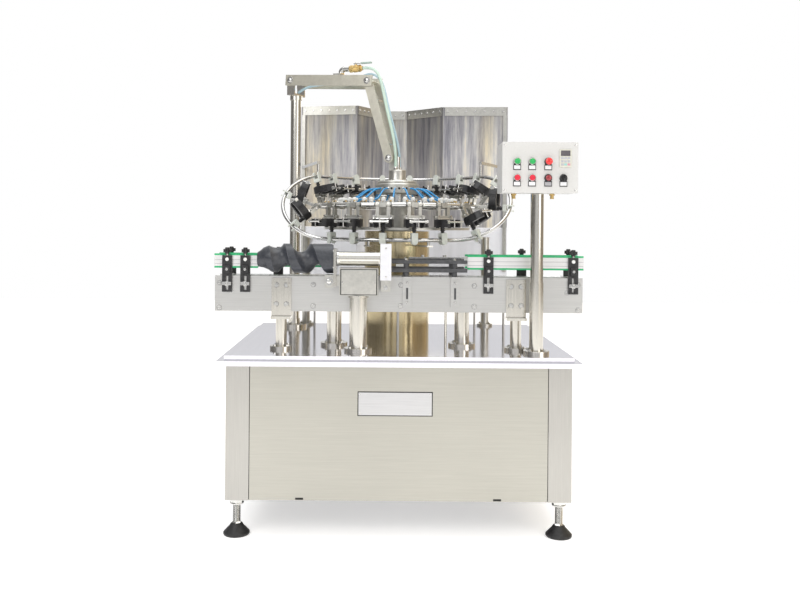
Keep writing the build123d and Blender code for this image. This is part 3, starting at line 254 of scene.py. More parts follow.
# dark colour, light colour, roughness from and to, grain stretch, grain scale, metallic, share of cloudiness
BRUSHED = {
    "panel_steel": ((0.43, 0.42, 0.38), (0.52, 0.51, 0.46), (0.3, 0.42), (1, 1, 70), 5.0),
    "post_panel_steel": ((0.42, 0.41, 0.39), (0.52, 0.51, 0.48), (0.28, 0.4), (60, 60, 1), 5.0),
    "table_steel": ((0.78, 0.77, 0.82), (0.88, 0.87, 0.92), (0.07, 0.15), (60, 1, 60), 3.0),
    "conveyor_steel": ((0.5, 0.5, 0.49), (0.62, 0.62, 0.61), (0.3, 0.45), (1, 60, 60), 6.0),
    "tube_steel": ((0.6, 0.58, 0.53), (0.8, 0.78, 0.72), (0.1, 0.22), (60, 60, 1), 5.0),
    "column_steel": ((0.52, 0.43, 0.25), (0.78, 0.68, 0.46), (0.12, 0.26), (40, 40, 1), 4.0, 1.0, 0.6),
    "bright_steel": ((0.55, 0.55, 0.54), (0.8, 0.8, 0.78), (0.08, 0.2), (20, 20, 20), 6.0),
    "rail_steel": ((0.48, 0.48, 0.48), (0.72, 0.72, 0.71), (0.14, 0.26), (20, 20, 20), 6.0),
    "cast_steel": ((0.46, 0.46, 0.43), (0.66, 0.65, 0.61), (0.26, 0.4), (12, 12, 12), 5.0, 0.95),
    "arm_steel": ((0.52, 0.5, 0.43), (0.68, 0.66, 0.57), (0.28, 0.42), (9, 9, 9), 4.0, 0.9),
    "chain_steel": ((0.52, 0.52, 0.5), (0.74, 0.74, 0.72), (0.22, 0.38), (1, 60, 60), 8.0),
    "rail_white": ((0.72, 0.72, 0.72), (0.84, 0.84, 0.84), (0.3, 0.42), (1, 60, 60), 6.0, 0.6),
    "nameplate_face": ((0.5, 0.5, 0.51), (0.66, 0.66, 0.67), (0.25, 0.35), (1, 1, 80), 6.0),
}
# colour, roughness, metallic, spread of the mottling, bump height, noise scale, coat
PLAIN = {
    "box_paint": ((0.64, 0.64, 0.63), 0.42, 0.0, 0.02, 0.0001, 220, 0.1),
    "black_plastic": ((0.016, 0.016, 0.018), 0.38, 0.0, 0.25, 0.0001, 90),
    "screw_plastic": ((0.038, 0.042, 0.052), 0.3, 0.0, 0.1, 0.00003, 120),
    "guide_plastic": ((0.055, 0.057, 0.062), 0.5, 0.0, 0.2, 0.0001, 60),
    "white_plastic": ((0.78, 0.79, 0.78), 0.38, 0.0, 0.04, 0.00005, 80),
    "block_plastic": ((0.74, 0.75, 0.79), 0.45, 0.0, 0.02, 0.00005, 50),
    "follower_plastic": ((0.7, 0.73, 0.68), 0.35, 0.0, 0.06, 0.00005, 80),
    "green_strip": ((0.02, 0.42, 0.16), 0.4, 0.0, 0.06, 0.00005, 60),
    "blue_hose": ((0.01, 0.27, 0.62), 0.22, 0.0, 0.08, 0.0, 30, 0.3),
    "green_cap": ((0.02, 0.42, 0.1), 0.25, 0.0, 0.08, 0.0, 60, 0.4),
    "red_cap": ((0.72, 0.02, 0.05), 0.25, 0.0, 0.08, 0.0, 60, 0.4),
    "bright_red": ((0.85, 0.015, 0.015), 0.22, 0.0, 0.05, 0.0, 60, 0.5),
    "lamp_red": ((0.3, 0.012, 0.02), 0.12, 0.0, 0.15, 0.0, 90, 0.6),
    "brass": ((0.72, 0.52, 0.22), 0.28, 1.0, 0.14, 0.0001, 60),
    "foot_rubber": ((0.014, 0.014, 0.015), 0.45, 0.0, 0.25, 0.0002, 70),
    # painted shade: near-black laid in gaps, slots, port holes and round bolt washers where shade falls
    "painted_shade": ((0.012, 0.012, 0.012), 0.8),
    "display": ((0.1, 0.09, 0.1), 0.15, 0.0, 0.08, 0.0, 60, 0.5),
    "keypad_body": ((0.66, 0.66, 0.58), 0.45, 0.0, 0.04, 0.00005, 90),
    "key_grey": ((0.46, 0.47, 0.52), 0.45),
    "key_teal": ((0.3, 0.62, 0.6), 0.45),
    "key_rose": ((0.72, 0.3, 0.38), 0.45),
    "label_white": ((0.82, 0.83, 0.85), 0.4, 0.0, 0.02),
    "label_grey": ((0.42, 0.42, 0.44), 0.4, 0.0, 0.04),
    "motor_paint": ((0.1, 0.13, 0.16), 0.5, 0.2, 0.1, 0.0002, 60),
    "lever_grip": ((0.35, 0.45, 0.4), 0.4),
}
# colour, alpha, roughness
CLEAR = {
    "skirt_film": ((0.9, 0.91, 0.96), 0.55, 0.3),
    "clear_green_hose": ((0.66, 0.84, 0.74), 0.72, 0.15),
    "clear_blue_hose": ((0.55, 0.76, 0.86), 0.72, 0.15),
}
# per guard panel: a painted light factor that lightens or darkens the whole sheet, giving lit and shaded
# copies of one steel, and how warm its tint runs
GUARD_PANEL_LIGHT = ((0.86, 1.5), (0.92, 1.2), (0.94, 1.0), (0.84, 0.5), (1.0, 1.5))
LOOKS = {}
for maker, table in ((brushed, BRUSHED), (plain, PLAIN), (clear_plastic, CLEAR)):
    for look, values in table.items():
        LOOKS[look] = maker(look, *values)
for number, (tone, warmth) in enumerate(GUARD_PANEL_LIGHT, 1):
    LOOKS[f"guard_steel_{number}"] = guard_steel(f"guard_steel_{number}", tone, warmth)


def floor():
    spots = [(x * FLOOR_HALF, y * FLOOR_HALF, 0) for x, y in ((-1, -1), (1, -1), (1, 1), (-1, 1))]
    mesh = bpy.data.meshes.new("floor")
    mesh.from_pydata(spots, [], [(0, 1, 2, 3)])
    white = plain("floor_white", (0.93, 0.93, 0.93), 0.85, 0.0, 0.005)
    shader = white.node_tree.nodes["Principled BSDF"]
    shader.inputs["Emission Color"].default_value = (1, 1, 1, 1)
    shader.inputs["Emission Strength"].default_value = FLOOR_GLOW
    mesh.materials.append(white)
    plane = show("floor", mesh)


floor()


# ---- mesh tools
class Shape:
    """Collects solids, in millimetres, into one mesh with several materials."""

    def __init__(self, name, *materials):
        self.name = name
        self.materials = materials
        self.mesh = bmesh.new()

    def _take(self, verts, material, matrix):
        for face in {face for vert in verts for face in vert.link_faces}:
            face.material_index = material
        bmesh.ops.transform(self.mesh, matrix=matrix, verts=verts)

    def box(self, corner, opposite, material=0, matrix=Matrix.Identity(4)):
        low, high = Vector(map(min, corner, opposite)), Vector(map(max, corner, opposite))
        made = bmesh.ops.create_cube(self.mesh, size=1)["verts"]
        place = Matrix.Translation((low + high) / 2) @ Matrix.Diagonal((*(high - low), 1))
        self._take(made, material, matrix @ place)

    def rod(self, start, end, radius, material=0, far_radius=None, sides=24, matrix=Matrix.Identity(4)):
        start, end = Vector(start), Vector(end)
        run = end - start
        far = radius if far_radius is None else far_radius
        made = bmesh.ops.create_cone(
            self.mesh, cap_ends=True, segments=sides, radius1=radius, radius2=far, depth=run.length
        )["verts"]
        turn = run.to_track_quat("Z", "Y").to_matrix().to_4x4()
        self._take(made, material, matrix @ Matrix.Translation((start + end) / 2) @ turn)

    def skin(self, rings, material=0, closed=False):
        """Faces between one ring of points and the next. A ring of a single point makes a tip."""
        rings = [[self.mesh.verts.new(point) for point in ring] for ring in rings]
        pairs = list(zip(rings, rings[1:])) + [(rings[-1], rings[0])] * closed
        for lower, upper in pairs:
            sides = max(len(lower), len(upper))
            for step in range(sides):
                after = (step + 1) % sides
                corners = [lower[step % len(lower)], lower[after % len(lower)]]
                corners += [upper[after % len(upper)], upper[step % len(upper)]]
                unique = list(dict.fromkeys(corners))
                if len(unique) > 2:
                    self.mesh.faces.new(unique).material_index = material
        return rings

    def lathe(self, profile, base, axis=Z, material=0, sides=32):
        """Turned solid: profile of (radius, height) from the axis up and back to the axis."""
        place = Matrix.Translation(Vector(base)) @ axis.to_track_quat("Z", "Y").to_matrix().to_4x4()
        rings = []
        for radius, height in profile:
            spots = circle_points((0, 0), radius, sides) if radius else [(0, 0)]
            rings.append([place @ Vector((x, y, height)) for x, y in spots])
        self.skin(rings, material)

    def prism(self, outline, low, high, material=0, matrix=Matrix.Identity(4)):
        """Outline in local x and y, thick along local z from low to high."""
        rings = [[matrix @ Vector((x, y, z)) for x, y in outline] for z in (low, high)]
        bottom, top = self.skin(rings, material)
        for ring in (list(reversed(bottom)), top):
            self.mesh.faces.new(ring).material_index = material

    def tube(self, points, radius, material=0, sides=12):
        """Round bar through points, with rings turned along the route."""
        rings = []
        side = (points[1] - points[0]).orthogonal()
        for index, point in enumerate(points):
            ahead, behind = points[min(index + 1, len(points) - 1)], points[max(index - 1, 0)]
            along = (ahead - behind).normalized()
            side = (side - along * side.dot(along)).normalized()
            rings.append(ring_round(point, side, along.cross(side), radius, sides))
        rings = self.skin(rings, material)
        for ring in (list(reversed(rings[0])), rings[-1]):
            self.mesh.faces.new(ring).material_index = material

    def hex_bolt(self, place, axis, radius, height, material=0):
        """Bolt head on its washer."""
        place = Vector(place)
        start = place + axis * 1.5
        top = start + axis * height
        self.rod(place, start, radius * 1.45, material)
        self.rod(start, top, radius, material, sides=6)
        self.rod(top, start + axis * (height + 0.8), radius * 0.82, material, radius * 0.7, 16)

    def cap_screw(self, place, axis, radius, height, material=0):
        profile = [(0, 0), (radius, 0), (radius, height * 0.75), (radius * 0.85, height)]
        profile += [(radius * 0.5, height), (radius * 0.42, height * 0.5), (0, height * 0.5)]
        self.lathe(profile, place, axis, material, 18)

    def to_mesh(self):
        mesh = bpy.data.meshes.new(self.name)
        bmesh.ops.recalc_face_normals(self.mesh, faces=self.mesh.faces)
        bmesh.ops.transform(self.mesh, matrix=Matrix.Scale(MM, 4), verts=self.mesh.verts)
        self.mesh.to_mesh(mesh)
        self.mesh.free()
        for name in self.materials:
            mesh.materials.append(LOOKS[name])
        return mesh

    def finish(self, body, slot=None, bevel=0.6, replaces=(), smooth=32):
        place_mesh(self.name, self.to_mesh(), body, slot, bevel, replaces, smooth)


def place_mesh(name, mesh, body, slot, bevel, replaces, smooth=32, matrix=None):
    piece = show(name, mesh)
    if matrix is not None:
        piece.matrix_world = matrix
    mesh.polygons.foreach_set("use_smooth", [True] * len(mesh.polygons))
    mesh.set_sharp_from_angle(angle=radians(smooth))
    if bevel:
        modifier = piece.modifiers.new("edges", "BEVEL")
        modifier.width = bevel * MM
        modifier.segments = 2
        modifier.limit_method = "ANGLE"
        modifier.angle_limit = radians(40)
        modifier.harden_normals = True
    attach(piece, body)
    if replaces:
        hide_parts(*replaces)


def around(radius, angle, z):
    """Point at a radius (mm) from the carousel axis, at an angle from the front towards +X."""
    turn = radians(angle)
    return Vector((radius * sin(turn), -radius * cos(turn), z))


def mm_box(node):
    low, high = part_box(node)
    return low / MM, high / MM


def circle_points(centre, radius, count, start=0):
    turns = [radians(start + 360 * step / count) for step in range(count)]
    return [(centre[0] + radius * cos(turn), centre[1] + radius * sin(turn)) for turn in turns]


def ring_round(point, side, other, radius, count):
    return [point + (side * x + other * y) * radius for x, y in circle_points((0, 0), 1, count)]


def axes_at(along, across, up, place):
    """Matrix with these local x, y and z axes at a place."""
    matrix = Matrix((along, across, up)).transposed().to_4x4()
    matrix.translation = place
    return matrix


# ---- carried-over CAD parts
REPAINTS = {
    "post_panel_steel": ("cabinet_frame",),
    "panel_steel": ("cabinet_panels",),
    "table_steel": ("table_top",),
    "motor_paint": ("drive_motor",),
    "conveyor_steel": ("conveyor_frame", "drip_tray"),
    "tube_steel": ("conveyor_supports", "arm_post", "control_post"),
    "chain_steel": ("drive_sprocket", "idle_sprocket"),
    "column_steel": ("center_column",),
    "cast_steel": ("carousel_rotor", "guard_frame"),
    "bright_steel": ("rail_stays",),
    "arm_steel": ("arm_beam", "arm_link"),
}
for look, nodes in REPAINTS.items():
    for node in nodes:
        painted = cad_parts[node].data.materials
        painted.clear()
        painted.append(LOOKS[look])

# ---- cabinet
panel_low, panel_high = mm_box("front_panel")
TABLE_Z = mm_box("table_top")[1].z


def cabinet_front():
    """Front panel with folded edges, its painted shadow gaps, the two drain slots painted dark as shade and a
    blank nameplate on a painted shadow rim.
    """
    panel = Shape("front_cover", "panel_steel", "painted_shade")
    face = panel_low.y
    panel.box((panel_low.x, face - 1.0, panel_low.z), (panel_high.x, face + 2.0, panel_high.z))
    for side in (-1, 1):
        inner, outer = side * (panel_high.x + 0.4), side * (panel_high.x + 2.6)
        panel.box((inner, face + 1.5, panel_low.z), (outer, face + 2.4, panel_high.z), 1)
    # drain slots: thin strips of painted shade where the openings are
    for slot_x in (-371, 371):
        panel.box((slot_x - 15, face - 1.3, panel_low.z + 1), (slot_x + 15, face - 0.9, panel_low.z + 9), 1)
    panel.finish("base", "cabinet_steel", 0.8, ("front_panel",))
    plate = Shape("nameplate", "nameplate_face", "painted_shade", "bright_steel")
    centre = Vector((-14, face - 1.0, 508))
    # painted shadow: dark rim showing round the nameplate's edge
    plate.box(centre + Vector((-141, -1.2, -46)), centre + Vector((141, 0.2, 46)), 1)
    plate.box(centre + Vector((-137.5, -2.0, -42.5)), centre + Vector((137.5, 0, 42.5)))
    for dx in (-131, 131):
        for dz in (-36, 36):
            plate.cap_screw(centre + Vector((dx, -2.0, dz)), -Y, 3.2, 1.4, 2)
    plate.finish("base", "cabinet_steel", 0.3)


FOOT_PROFILE = [
    (0, 0), (48, 0), (50, 3), (50, 9), (46, 13), (36, 24), (27, 33), (23, 40), (18, 44), (0, 44),
]


def leveling_feet():
    feet = Shape("levelling_feet", "foot_rubber", "bright_steel")
    low, high = mm_box("leveling_feet")
    for x in (low.x + 50, high.x - 50):
        for y in (low.y + 50, high.y - 50):
            feet.lathe(FOOT_PROFILE, (x, y, 0), Z, 0, 40)
            feet.rod((x, y, 43), (x, y, 49), 19, 1, 16, 6)
            for step in range(26):
                z = 48 + step * 2.8
                thread = [(0, z), (13.4, z), (15, z + 1.4), (13.4, z + 2.8), (0, z + 2.8)]
                feet.lathe(thread, (x, y, 0), Z, 1, 20)
            feet.rod((x, y, 121), (x, y, 141.8), 25, 1, sides=6)
            feet.rod((x, y, 117), (x, y, 121), 27, 1, sides=28)
    feet.finish("base", "foot_rubber", 0.5, ("leveling_feet",))


cabinet_front()
leveling_feet()

# ---- conveyor
plates_low, plates_high = mm_box("conveyor_frame")
CONVEYOR_Y = (plates_low.y + plates_high.y) / 2
CHAIN_PITCH = 38.1
chain_low, chain_high = mm_box("conveyor_chain")
CHAIN_RADIUS = (chain_high.z - chain_low.z) / 2
CHAIN_Z = (chain_low.z + chain_high.z) / 2
CHAIN_RUN = chain_high.x - CHAIN_RADIUS
CHAIN_BEND = CHAIN_RADIUS - 2


def chain_spot(distance):
    """Place and heading on the chain's loop, from the left end of the top run."""
    top = 2 * CHAIN_RUN
    lap, distance = divmod(distance, top + pi * CHAIN_BEND)
    turn = max(distance - top, 0) / CHAIN_BEND
    x = min(distance, top) - CHAIN_RUN + CHAIN_BEND * sin(turn)
    return Vector((x, 0, CHAIN_BEND * cos(turn))) * (-1) ** int(lap), turn + pi * lap


def chain():
    slats = Shape("slat_chain", "chain_steel", "bright_steel")
    loop = 4 * CHAIN_RUN + 2 * pi * CHAIN_BEND
    count = round(loop / CHAIN_PITCH)
    half = loop / count / 2
    for index in range(count):
        place, turn = chain_spot(index * loop / count + half)
        matrix = Matrix.Translation(Vector((0, CONVEYOR_Y, CHAIN_Z)) + place) @ Matrix.Rotation(turn, 4, "Y")
        slats.box((-half + 1.2, -41, -1.2), (half - 1.2, 41, 1.9), 0, matrix)
        slats.box((-half - 3, -16, -5.5), (half - 5, 16, -1.2), 0, matrix)
        slats.rod((half, -20, -3.4), (half, 20, -3.4), 2.6, 1, matrix=matrix, sides=10)
    slats.finish("base", "chain_steel", 0.4, ("conveyor_chain",))


def conveyor_bolts():
    front, back = plates_low.y, plates_high.y
    bolts = Shape("conveyor_bolts", "bright_steel", "painted_shade")
    for x, high, low in ((-712, 944, 846), (-339, 939, 855), (8, 940, 857), (300, 939, 857), (712, 946, 846)):
        for z in (high, low):
            for face, axis in ((front, -Y), (back, Y)):
                # painted shade: dark ring showing round each washer
                bolts.rod((x, face, z), (x, face + axis.y * 0.5, z), 10.2, 1)
                bolts.hex_bolt((x, face + axis.y * 0.2, z), axis, 6.5, 4)
    for x in (-668, 668):
        for face, axis in ((front, -Y), (back, Y)):
            bolts.rod((x, face, CHAIN_Z), (x, face + axis.y * 1.2, CHAIN_Z), 11.5, 0)
    for x in (-465, 465):
        for dx in (-20, 20):
            for z in (862, 938):
                # painted shade: dark ring showing round each washer
                bolts.rod((x + dx, front - 8, z), (x + dx, front - 8.5, z), 10.5, 1)
                bolts.hex_bolt((x + dx, front - 8.2, z), -Y, 6.5, 4)
    bolts.finish("base", "stainless", 0.3)


def flange_bolts():
    """Nuts on the round foot flanges that stand on the table."""
    bolts = Shape("flange_bolts", "bright_steel")
    flanges = [(-465, -499, 34, 12), (465, -499, 34, 12), (-262, -385, 43, 12), (262, -385, 43, 12)]
    flanges += [(-159, -542, 45, 12), (533, -576, 39, 12), (-487, 217, 44, 15)]
    flanges += [(-440, 322, 29, 10), (440, 322, 29, 10)]
    for x, y, radius, height in flanges:
        for spot in circle_points((x, y), radius, 4, 45):
            bolts.hex_bolt((*spot, TABLE_Z + height), Z, 5.5, 4.5)
    bolts.finish("base", "stainless", 0.3)


def rails():
    """Flat bar side rails with green low-friction strips along both edges."""
    low, high = mm_box("guide_rails")
    bars = Shape("side_rails", "rail_white", "green_strip", "label_grey")
    runs = [(-1, low.x, -560), (-1, 272, high.x), (1, low.x, -250), (1, 272, high.x)]
    for side, left, right in runs:
        outer = CONVEYOR_Y + side * 57
        strip = outer - side * 10
        bars.box((left, outer, 1010.6), (right, outer - side * 6, 1053.4))
        for z in (1020, 1036):
            bars.box((left + 1, outer, z - 0.9), (right - 1, outer + side * 0.5, z + 0.9), 2)
        for low_z, high_z in ((1003.5, 1010.4), (1053.6, 1060.4)):
            bars.box((left, outer, low_z), (right, strip, high_z), 1)
    bars.finish("base", "stainless", 0.6, ("guide_rails",))


def star_knob(shape, x, y, z, material):
    """Five-lobed clamping knob on a stud."""
    outline = []
    for step in range(60):
        radius = 14.2 + 2.6 * cos(pi * step / 6)
        outline += circle_points((x, y), radius, 1, 6 * step)
    shape.prism(outline, z, z + 13, material)
    shape.rod((x, y, z + 13), (x, y, z + 19.5), 9.5, material, 7.5)
    shape.rod((x, y, z - 13), (x, y, z), 4.5, material + 1)
    shape.rod((x, y, z - 6), (x, y, z), 8, material, 10)


# boxes round the slot of a bracket: left, right, bottom and top
SLOTTED_PLATE = (
    (-19.5, -5.2, 909, 1053), (5.2, 19.5, 909, 1053), (-5.3, 5.3, 972, 1053), (-5.3, 5.3, 909, 916),
)


def brackets():
    holders = Shape("rail_clamps", "black_plastic", "bright_steel", "white_plastic")
    spots = [(-1, x) for x in (-681, -609, 355, 691)] + [(1, x) for x in (-686, -493, 506, 698)]
    for side, x in spots:
        inner = CONVEYOR_Y + side * 57
        outer = inner + side * 10
        for left, right, low, high in SLOTTED_PLATE:
            holders.box((x + left, inner, low), (x + right, outer, high))
        holders.rod((x, inner, 941), (x, outer + side * 3, 941), 10, 1)
        holders.hex_bolt((x, outer + side * 2, 941), Y * side, 6.5, 4, 1)
        for wing in (-1, 1):
            holders.box((x + wing * 4, outer + side * 4, 936), (x + wing * 18, outer + side * 7.0, 949), 1)
        holders.box((x - 12, outer, 984), (x + 12, outer + side * 9, 1014))
        holders.rod((x, outer + side * 9, 999), (x, outer + side * 10.5, 999), 6, 1, 5)
        holders.rod((x, outer, 1038), (x, outer + side * 3, 1038), 7.5, 2, 6.5)
        star_knob(holders, x, CONVEYOR_Y + side * 62, 1065.5, 0)
    holders.finish("base", "guide_plastic", 0.8, ("rail_brackets",))


chain()
conveyor_bolts()
flange_bolts()
rails()
brackets()

# ---- infeed screw and its drive
SCREW_Y, SCREW_Z = -514, 1044
SCREW_LEFT, SCREW_RIGHT = -558, -258
SCREW_RADIUS = 58
LEAD_IN, LEAD_RADIUS = 88, 29
SCREW_PHASE = 0.25
FIRST_CREST_X, FIRST_PITCH, PITCH_GROWTH = -526, 64.46, 0.4495
BOTTLE_RADIUS = 40
GROOVE_DEPTH = 33
CORE_RADIUS = 18


def screw_radius(x, turn):
    """Outside of the timing screw: lands between round bottle pockets on a pitch that grows to the right."""
    pitch = max(FIRST_PITCH + PITCH_GROWTH * (x - FIRST_CREST_X), 30)
    turns = log(pitch / FIRST_PITCH) / PITCH_GROWTH
    phase = (turns - turn / (2 * pi) + SCREW_PHASE) % 1
    share = min((x - SCREW_LEFT) / LEAD_IN, 1)
    envelope = LEAD_RADIUS + (SCREW_RADIUS - LEAD_RADIUS) * sin(share * pi / 2) ** 0.9
    grown = min(max((x - SCREW_LEFT) / 150, 0.25), 1)
    depth = GROOVE_DEPTH * grown * grown * (3 - 2 * grown)
    across = abs(phase - 0.5) * pitch
    if across >= BOTTLE_RADIUS:
        return envelope
    pocket = sqrt(BOTTLE_RADIUS ** 2 - across ** 2) - (BOTTLE_RADIUS - depth)
    return max(envelope - max(pocket, 0), CORE_RADIUS)


def infeed_screw():
    shape = Shape("timing_screw", "screw_plastic", "bright_steel")
    steps, sides = 260, 96
    rings = []
    for step in range(steps + 1):
        x = SCREW_LEFT + (SCREW_RIGHT - SCREW_LEFT) * step / steps
        ring = []
        for side in range(sides):
            turn = 2 * pi * side / sides
            radius = screw_radius(x, turn)
            ring.append((x, SCREW_Y + radius * cos(turn), SCREW_Z + radius * sin(turn)))
        rings.append(ring)
    rings = shape.skin(rings)
    shape.mesh.faces.new(rings[0])
    shape.mesh.faces.new(list(reversed(rings[-1])))
    shape.rod((SCREW_RIGHT, SCREW_Y, SCREW_Z), (-90, SCREW_Y, SCREW_Z), 12.4, 1)
    shape.rod((SCREW_RIGHT - 1, SCREW_Y, SCREW_Z), (SCREW_RIGHT + 1.6, SCREW_Y, SCREW_Z), 24, 1)
    shape.finish("infeed_screw", "screw_plastic", 0, ("infeed_screw",), 50)


def screw_drive():
    drive = Shape("screw_gearbox", "cast_steel", "tube_steel", "bright_steel", "painted_shade")
    drive.box((-233, -572, 902), (-81, -502, 1009))
    # painted shadow gap: dark outline round the raised cover
    drive.box((-229, -572.6, 905), (-85, -571.8, 1006), 3)
    drive.box((-225, -577, 908), (-89, -572.4, 1003))
    for x in (-220, -94):
        drive.cap_screw((x, -577, 955), -Y, 3.0, 2.0, 2)
    drive.box((-216, -577.6, 917), (-98, -576.8, 994), 0)
    for low, high, radius in ((TABLE_Z, 902, 34.5), (TABLE_Z, TABLE_Z + 12, 55), (894, 902, 42)):
        drive.rod((-159, -542, low), (-159, -542, high), radius, 1, sides=48)
    drive.box((-246, -560, 940), (-233, -520, 980), 0)
    drive.box((-256, -574, 938), (-246, -500, 1083), 1)
    drive.box((-256, -500, 980), (-246, -454, 1083), 1)
    drive.box((-290, -555, 932), (-256, -505, 982), 0)
    drive.hex_bolt((-273, -555, 957), -Y, 11, 8, 2)
    for z in (1012, 1074):
        drive.cap_screw((-256, -560, z), -X, 4, 3, 2)
    drive.finish("base", "stainless", 1.0, ("screw_drive",))
    cover = Shape("screw_shaft_cover", "tube_steel", "bright_steel")
    profile = [(24, 0), (27.5, 0), (27.5, 169.4), (24, 169.4), (24, 0)]
    cover.lathe(profile, (-244.6, SCREW_Y, SCREW_Z), X, 0, 48)
    cover.lathe([(24, 0), (30, 0), (30, 7), (24, 7), (24, 0)], (-244.4, SCREW_Y, SCREW_Z), X, 1, 48)
    cover.finish("base", "stainless", 0.5)
    block = Shape("transfer_block", "block_plastic", "cast_steel", "bright_steel")
    block.box((-74, -577, 963), (-31, -502, 1104))
    block.box((-71, -561, 918), (-34, -499.2, 963), 1)
    for z in (1088, 976):
        block.cap_screw((-52, -577, z), -Y, 4, 2.5, 2)
    block.hex_bolt((-52, -561, 934), -Y, 6, 4, 2)
    block.finish("base", "guide_plastic", 1.5)


def bottle_guides():
    guides = Shape("bottle_guide_plates", "guide_plastic", "bright_steel", "conveyor_steel", "white_plastic")
    for low, high in ((993, 1008), (1027, 1040)):
        for near, far in ((-529, -495), (-391, -357)):
            guides.box((-29, near, low), (269, far, high))
    guides.box((43, -391, 1040.2), (267, -357, 1048), 1)
    guides.box((-10, -390, 1008), (30, -376, 1018), 3)
    for x in (33, 223):
        guides.box((x - 17.5, -507, 853), (x + 17.5, -499.2, 975), 2)
        guides.box((x - 17.5, -531, 969), (x + 17.5, -507, 975), 2)
        guides.box((x - 17.5, -384.7, 905), (x + 17.5, -373, 975), 2)
        for z in (950, 872):
            guides.cap_screw((x, -507, z), -Y, 5.5, 4, 1)
        guides.box((x - 6.5, -507.6, 882), (x + 6.5, -506.8, 933), 2)
        guides.box((x - 4, -508.0, 885), (x + 4, -507.4, 930), 0)
        for y in (-514, -374):
            guides.rod((x - 4, y, 975), (x - 4, y, 1039), 11, 0, sides=28)
            guides.hex_bolt((x - 4, y, 1040), Z, 6.5, 4, 1)
    for x in (100, 190):
        guides.rod((x, -374, 1048), (x, -374, 1056), 7, 1)
    guides.finish("base", "guide_plastic", 0.8, ("bottle_guides",))


infeed_screw()
screw_drive()
bottle_guides()

# ---- grippers
GRIPPER_COUNT = 18
STEP = 360 / GRIPPER_COUNT
PIVOT_RADIUS, PIVOT_Z = 372, 1262
CAM_CENTRE, CAM_DOWN, CAM_UP = -6, -90, 78
RISE_START, RISE_END = 47, 103


def attitude(angle):
    """Degrees above horizontal that the cam rail holds a gripper at, round the machine."""
    offset = abs((angle - CAM_CENTRE + 180) % 360 - 180)
    share = min(max((offset - RISE_START) / (RISE_END - RISE_START), 0), 1)
    return CAM_DOWN + share * (CAM_UP - CAM_DOWN)


def gripper_matrix(angle, lift):
    """From gripper millimetres (x along it, y along its pin, z outward when hanging) to the row frame."""
    turn, lift = radians(angle), radians(lift)
    radial = Vector((sin(turn), -cos(turn), 0))
    along = radial * cos(lift) + Z * sin(lift)
    normal = radial * -sin(lift) + Z * cos(lift)
    return axes_at(along, normal.cross(along), normal, around(PIVOT_RADIUS, angle, PIVOT_Z) * MM)


JAW_OUTLINE = [
    (16, -12), (33, -14), (42, -4), (48, 14), (49, 34), (45, 54), (38, 72), (29, 84), (21, 85),
    (24, 74), (30, 62), (33, 47), (32, 33), (26, 22), (17, 16),
]


def gripper_mesh():
    """Frame, jaws, neck and cam fork of one gripper, in its own millimetres."""
    body = Shape("gripper", "bright_steel", "black_plastic", "follower_plastic", "cast_steel")
    body.rod((0, -33, 0), (0, 33, 0), 6, 0)
    body.box((44, -43.5, -8), (57, 43.5, 8), 3)
    body.rod((58.5, -37.5, 14), (58.5, 37.5, 14), 4.2, 0)
    body.rod((66, 0, -2), (118, 0, -2), 9.0, 1, 7.0)
    for rib in range(5):
        body.rod((72 + 8 * rib, 0, -2), (75 + 8 * rib, 0, -2), 10.6, 1)
    body.rod((70, -38, 88), (70, 38, 88), 4, 0)
    for side in (-1, 1):
        body.rod((0, side * 15.6, 0), (0, side * 30.4, 0), 11, 3, sides=28)
        body.box((0, side * 15.6, -7.5), (52, side * 30.4, 7.5), 3)
        body.rod((0, side * 30.4, 0), (0, side * 34, 0), 8.5, 0, sides=6)
        body.rod((20, side * 30.4, 0), (20, side * 32.5, 0), 4.5, 0, sides=6)
        body.rod((58.5, side * 34, 14), (58.5, side * 39, 14), 6.5, 0, sides=16)
        body.rod((46, side * 31, 8), (46, side * 31, 17), 4.5, 0)
        body.box((54, side * 31 - 5, 8), (62, side * 31 + 5, 19), 3)
        body.prism([(side * y, z) for y, z in JAW_OUTLINE], 60, 92, 1, axes_at(Y, Z, X, (0, 0, 0)))
        body.rod((56, side * 30, 4), (96, side * 30, 4), 5.2, 0)
        body.rod((92, side * 30, 4), (95.5, side * 30, 4), 8.5, 1, 7)
        body.rod((70, side * 33, 88), (70, side * 39, 88), 6.2, 0, sides=12)
        body.box((63, side * 30 - 4, 78), (77, side * 30 + 4, 90), 3)
        for rib in range(6):
            body.box((60.5 + 5.6 * rib, side * 36 - 12, 12), (62.6 + 5.6 * rib, side * 36 + 12.6, 58), 1)
    body.rod((55, 0, 84), (95, 0, 84), 3.5, 0)
    tip = [(152 + x, y) for y, x in circle_points((0, 0), 13.5, 16)[:9]]
    prong = [(116, 11), (118, 13.5)] + tip + [(118, -13.5), (116, -11)]
    for low, high in ((-15, -8.7), (8.7, 15)):
        body.prism(prong, low, high, 2)
    body.box((116.2, -13.2, -14.6), (132.5, 13.2, 14.6), 2)
    return body.to_mesh()


def grippers():
    mesh = gripper_mesh()
    for index in range(GRIPPER_COUNT):
        angle = STEP * (index + 0.5)
        name = f"gripper_{index + 1:02d}"
        matrix = gripper_matrix(angle, attitude(angle))
        place_mesh(f"{name}_detail", mesh, name, "gripper_metal", 0.6, (name,), 32, matrix)


RAIL_LEVER = 142 * 1.03
RAIL_RADIUS = 8
RAIL_SAMPLES = 240


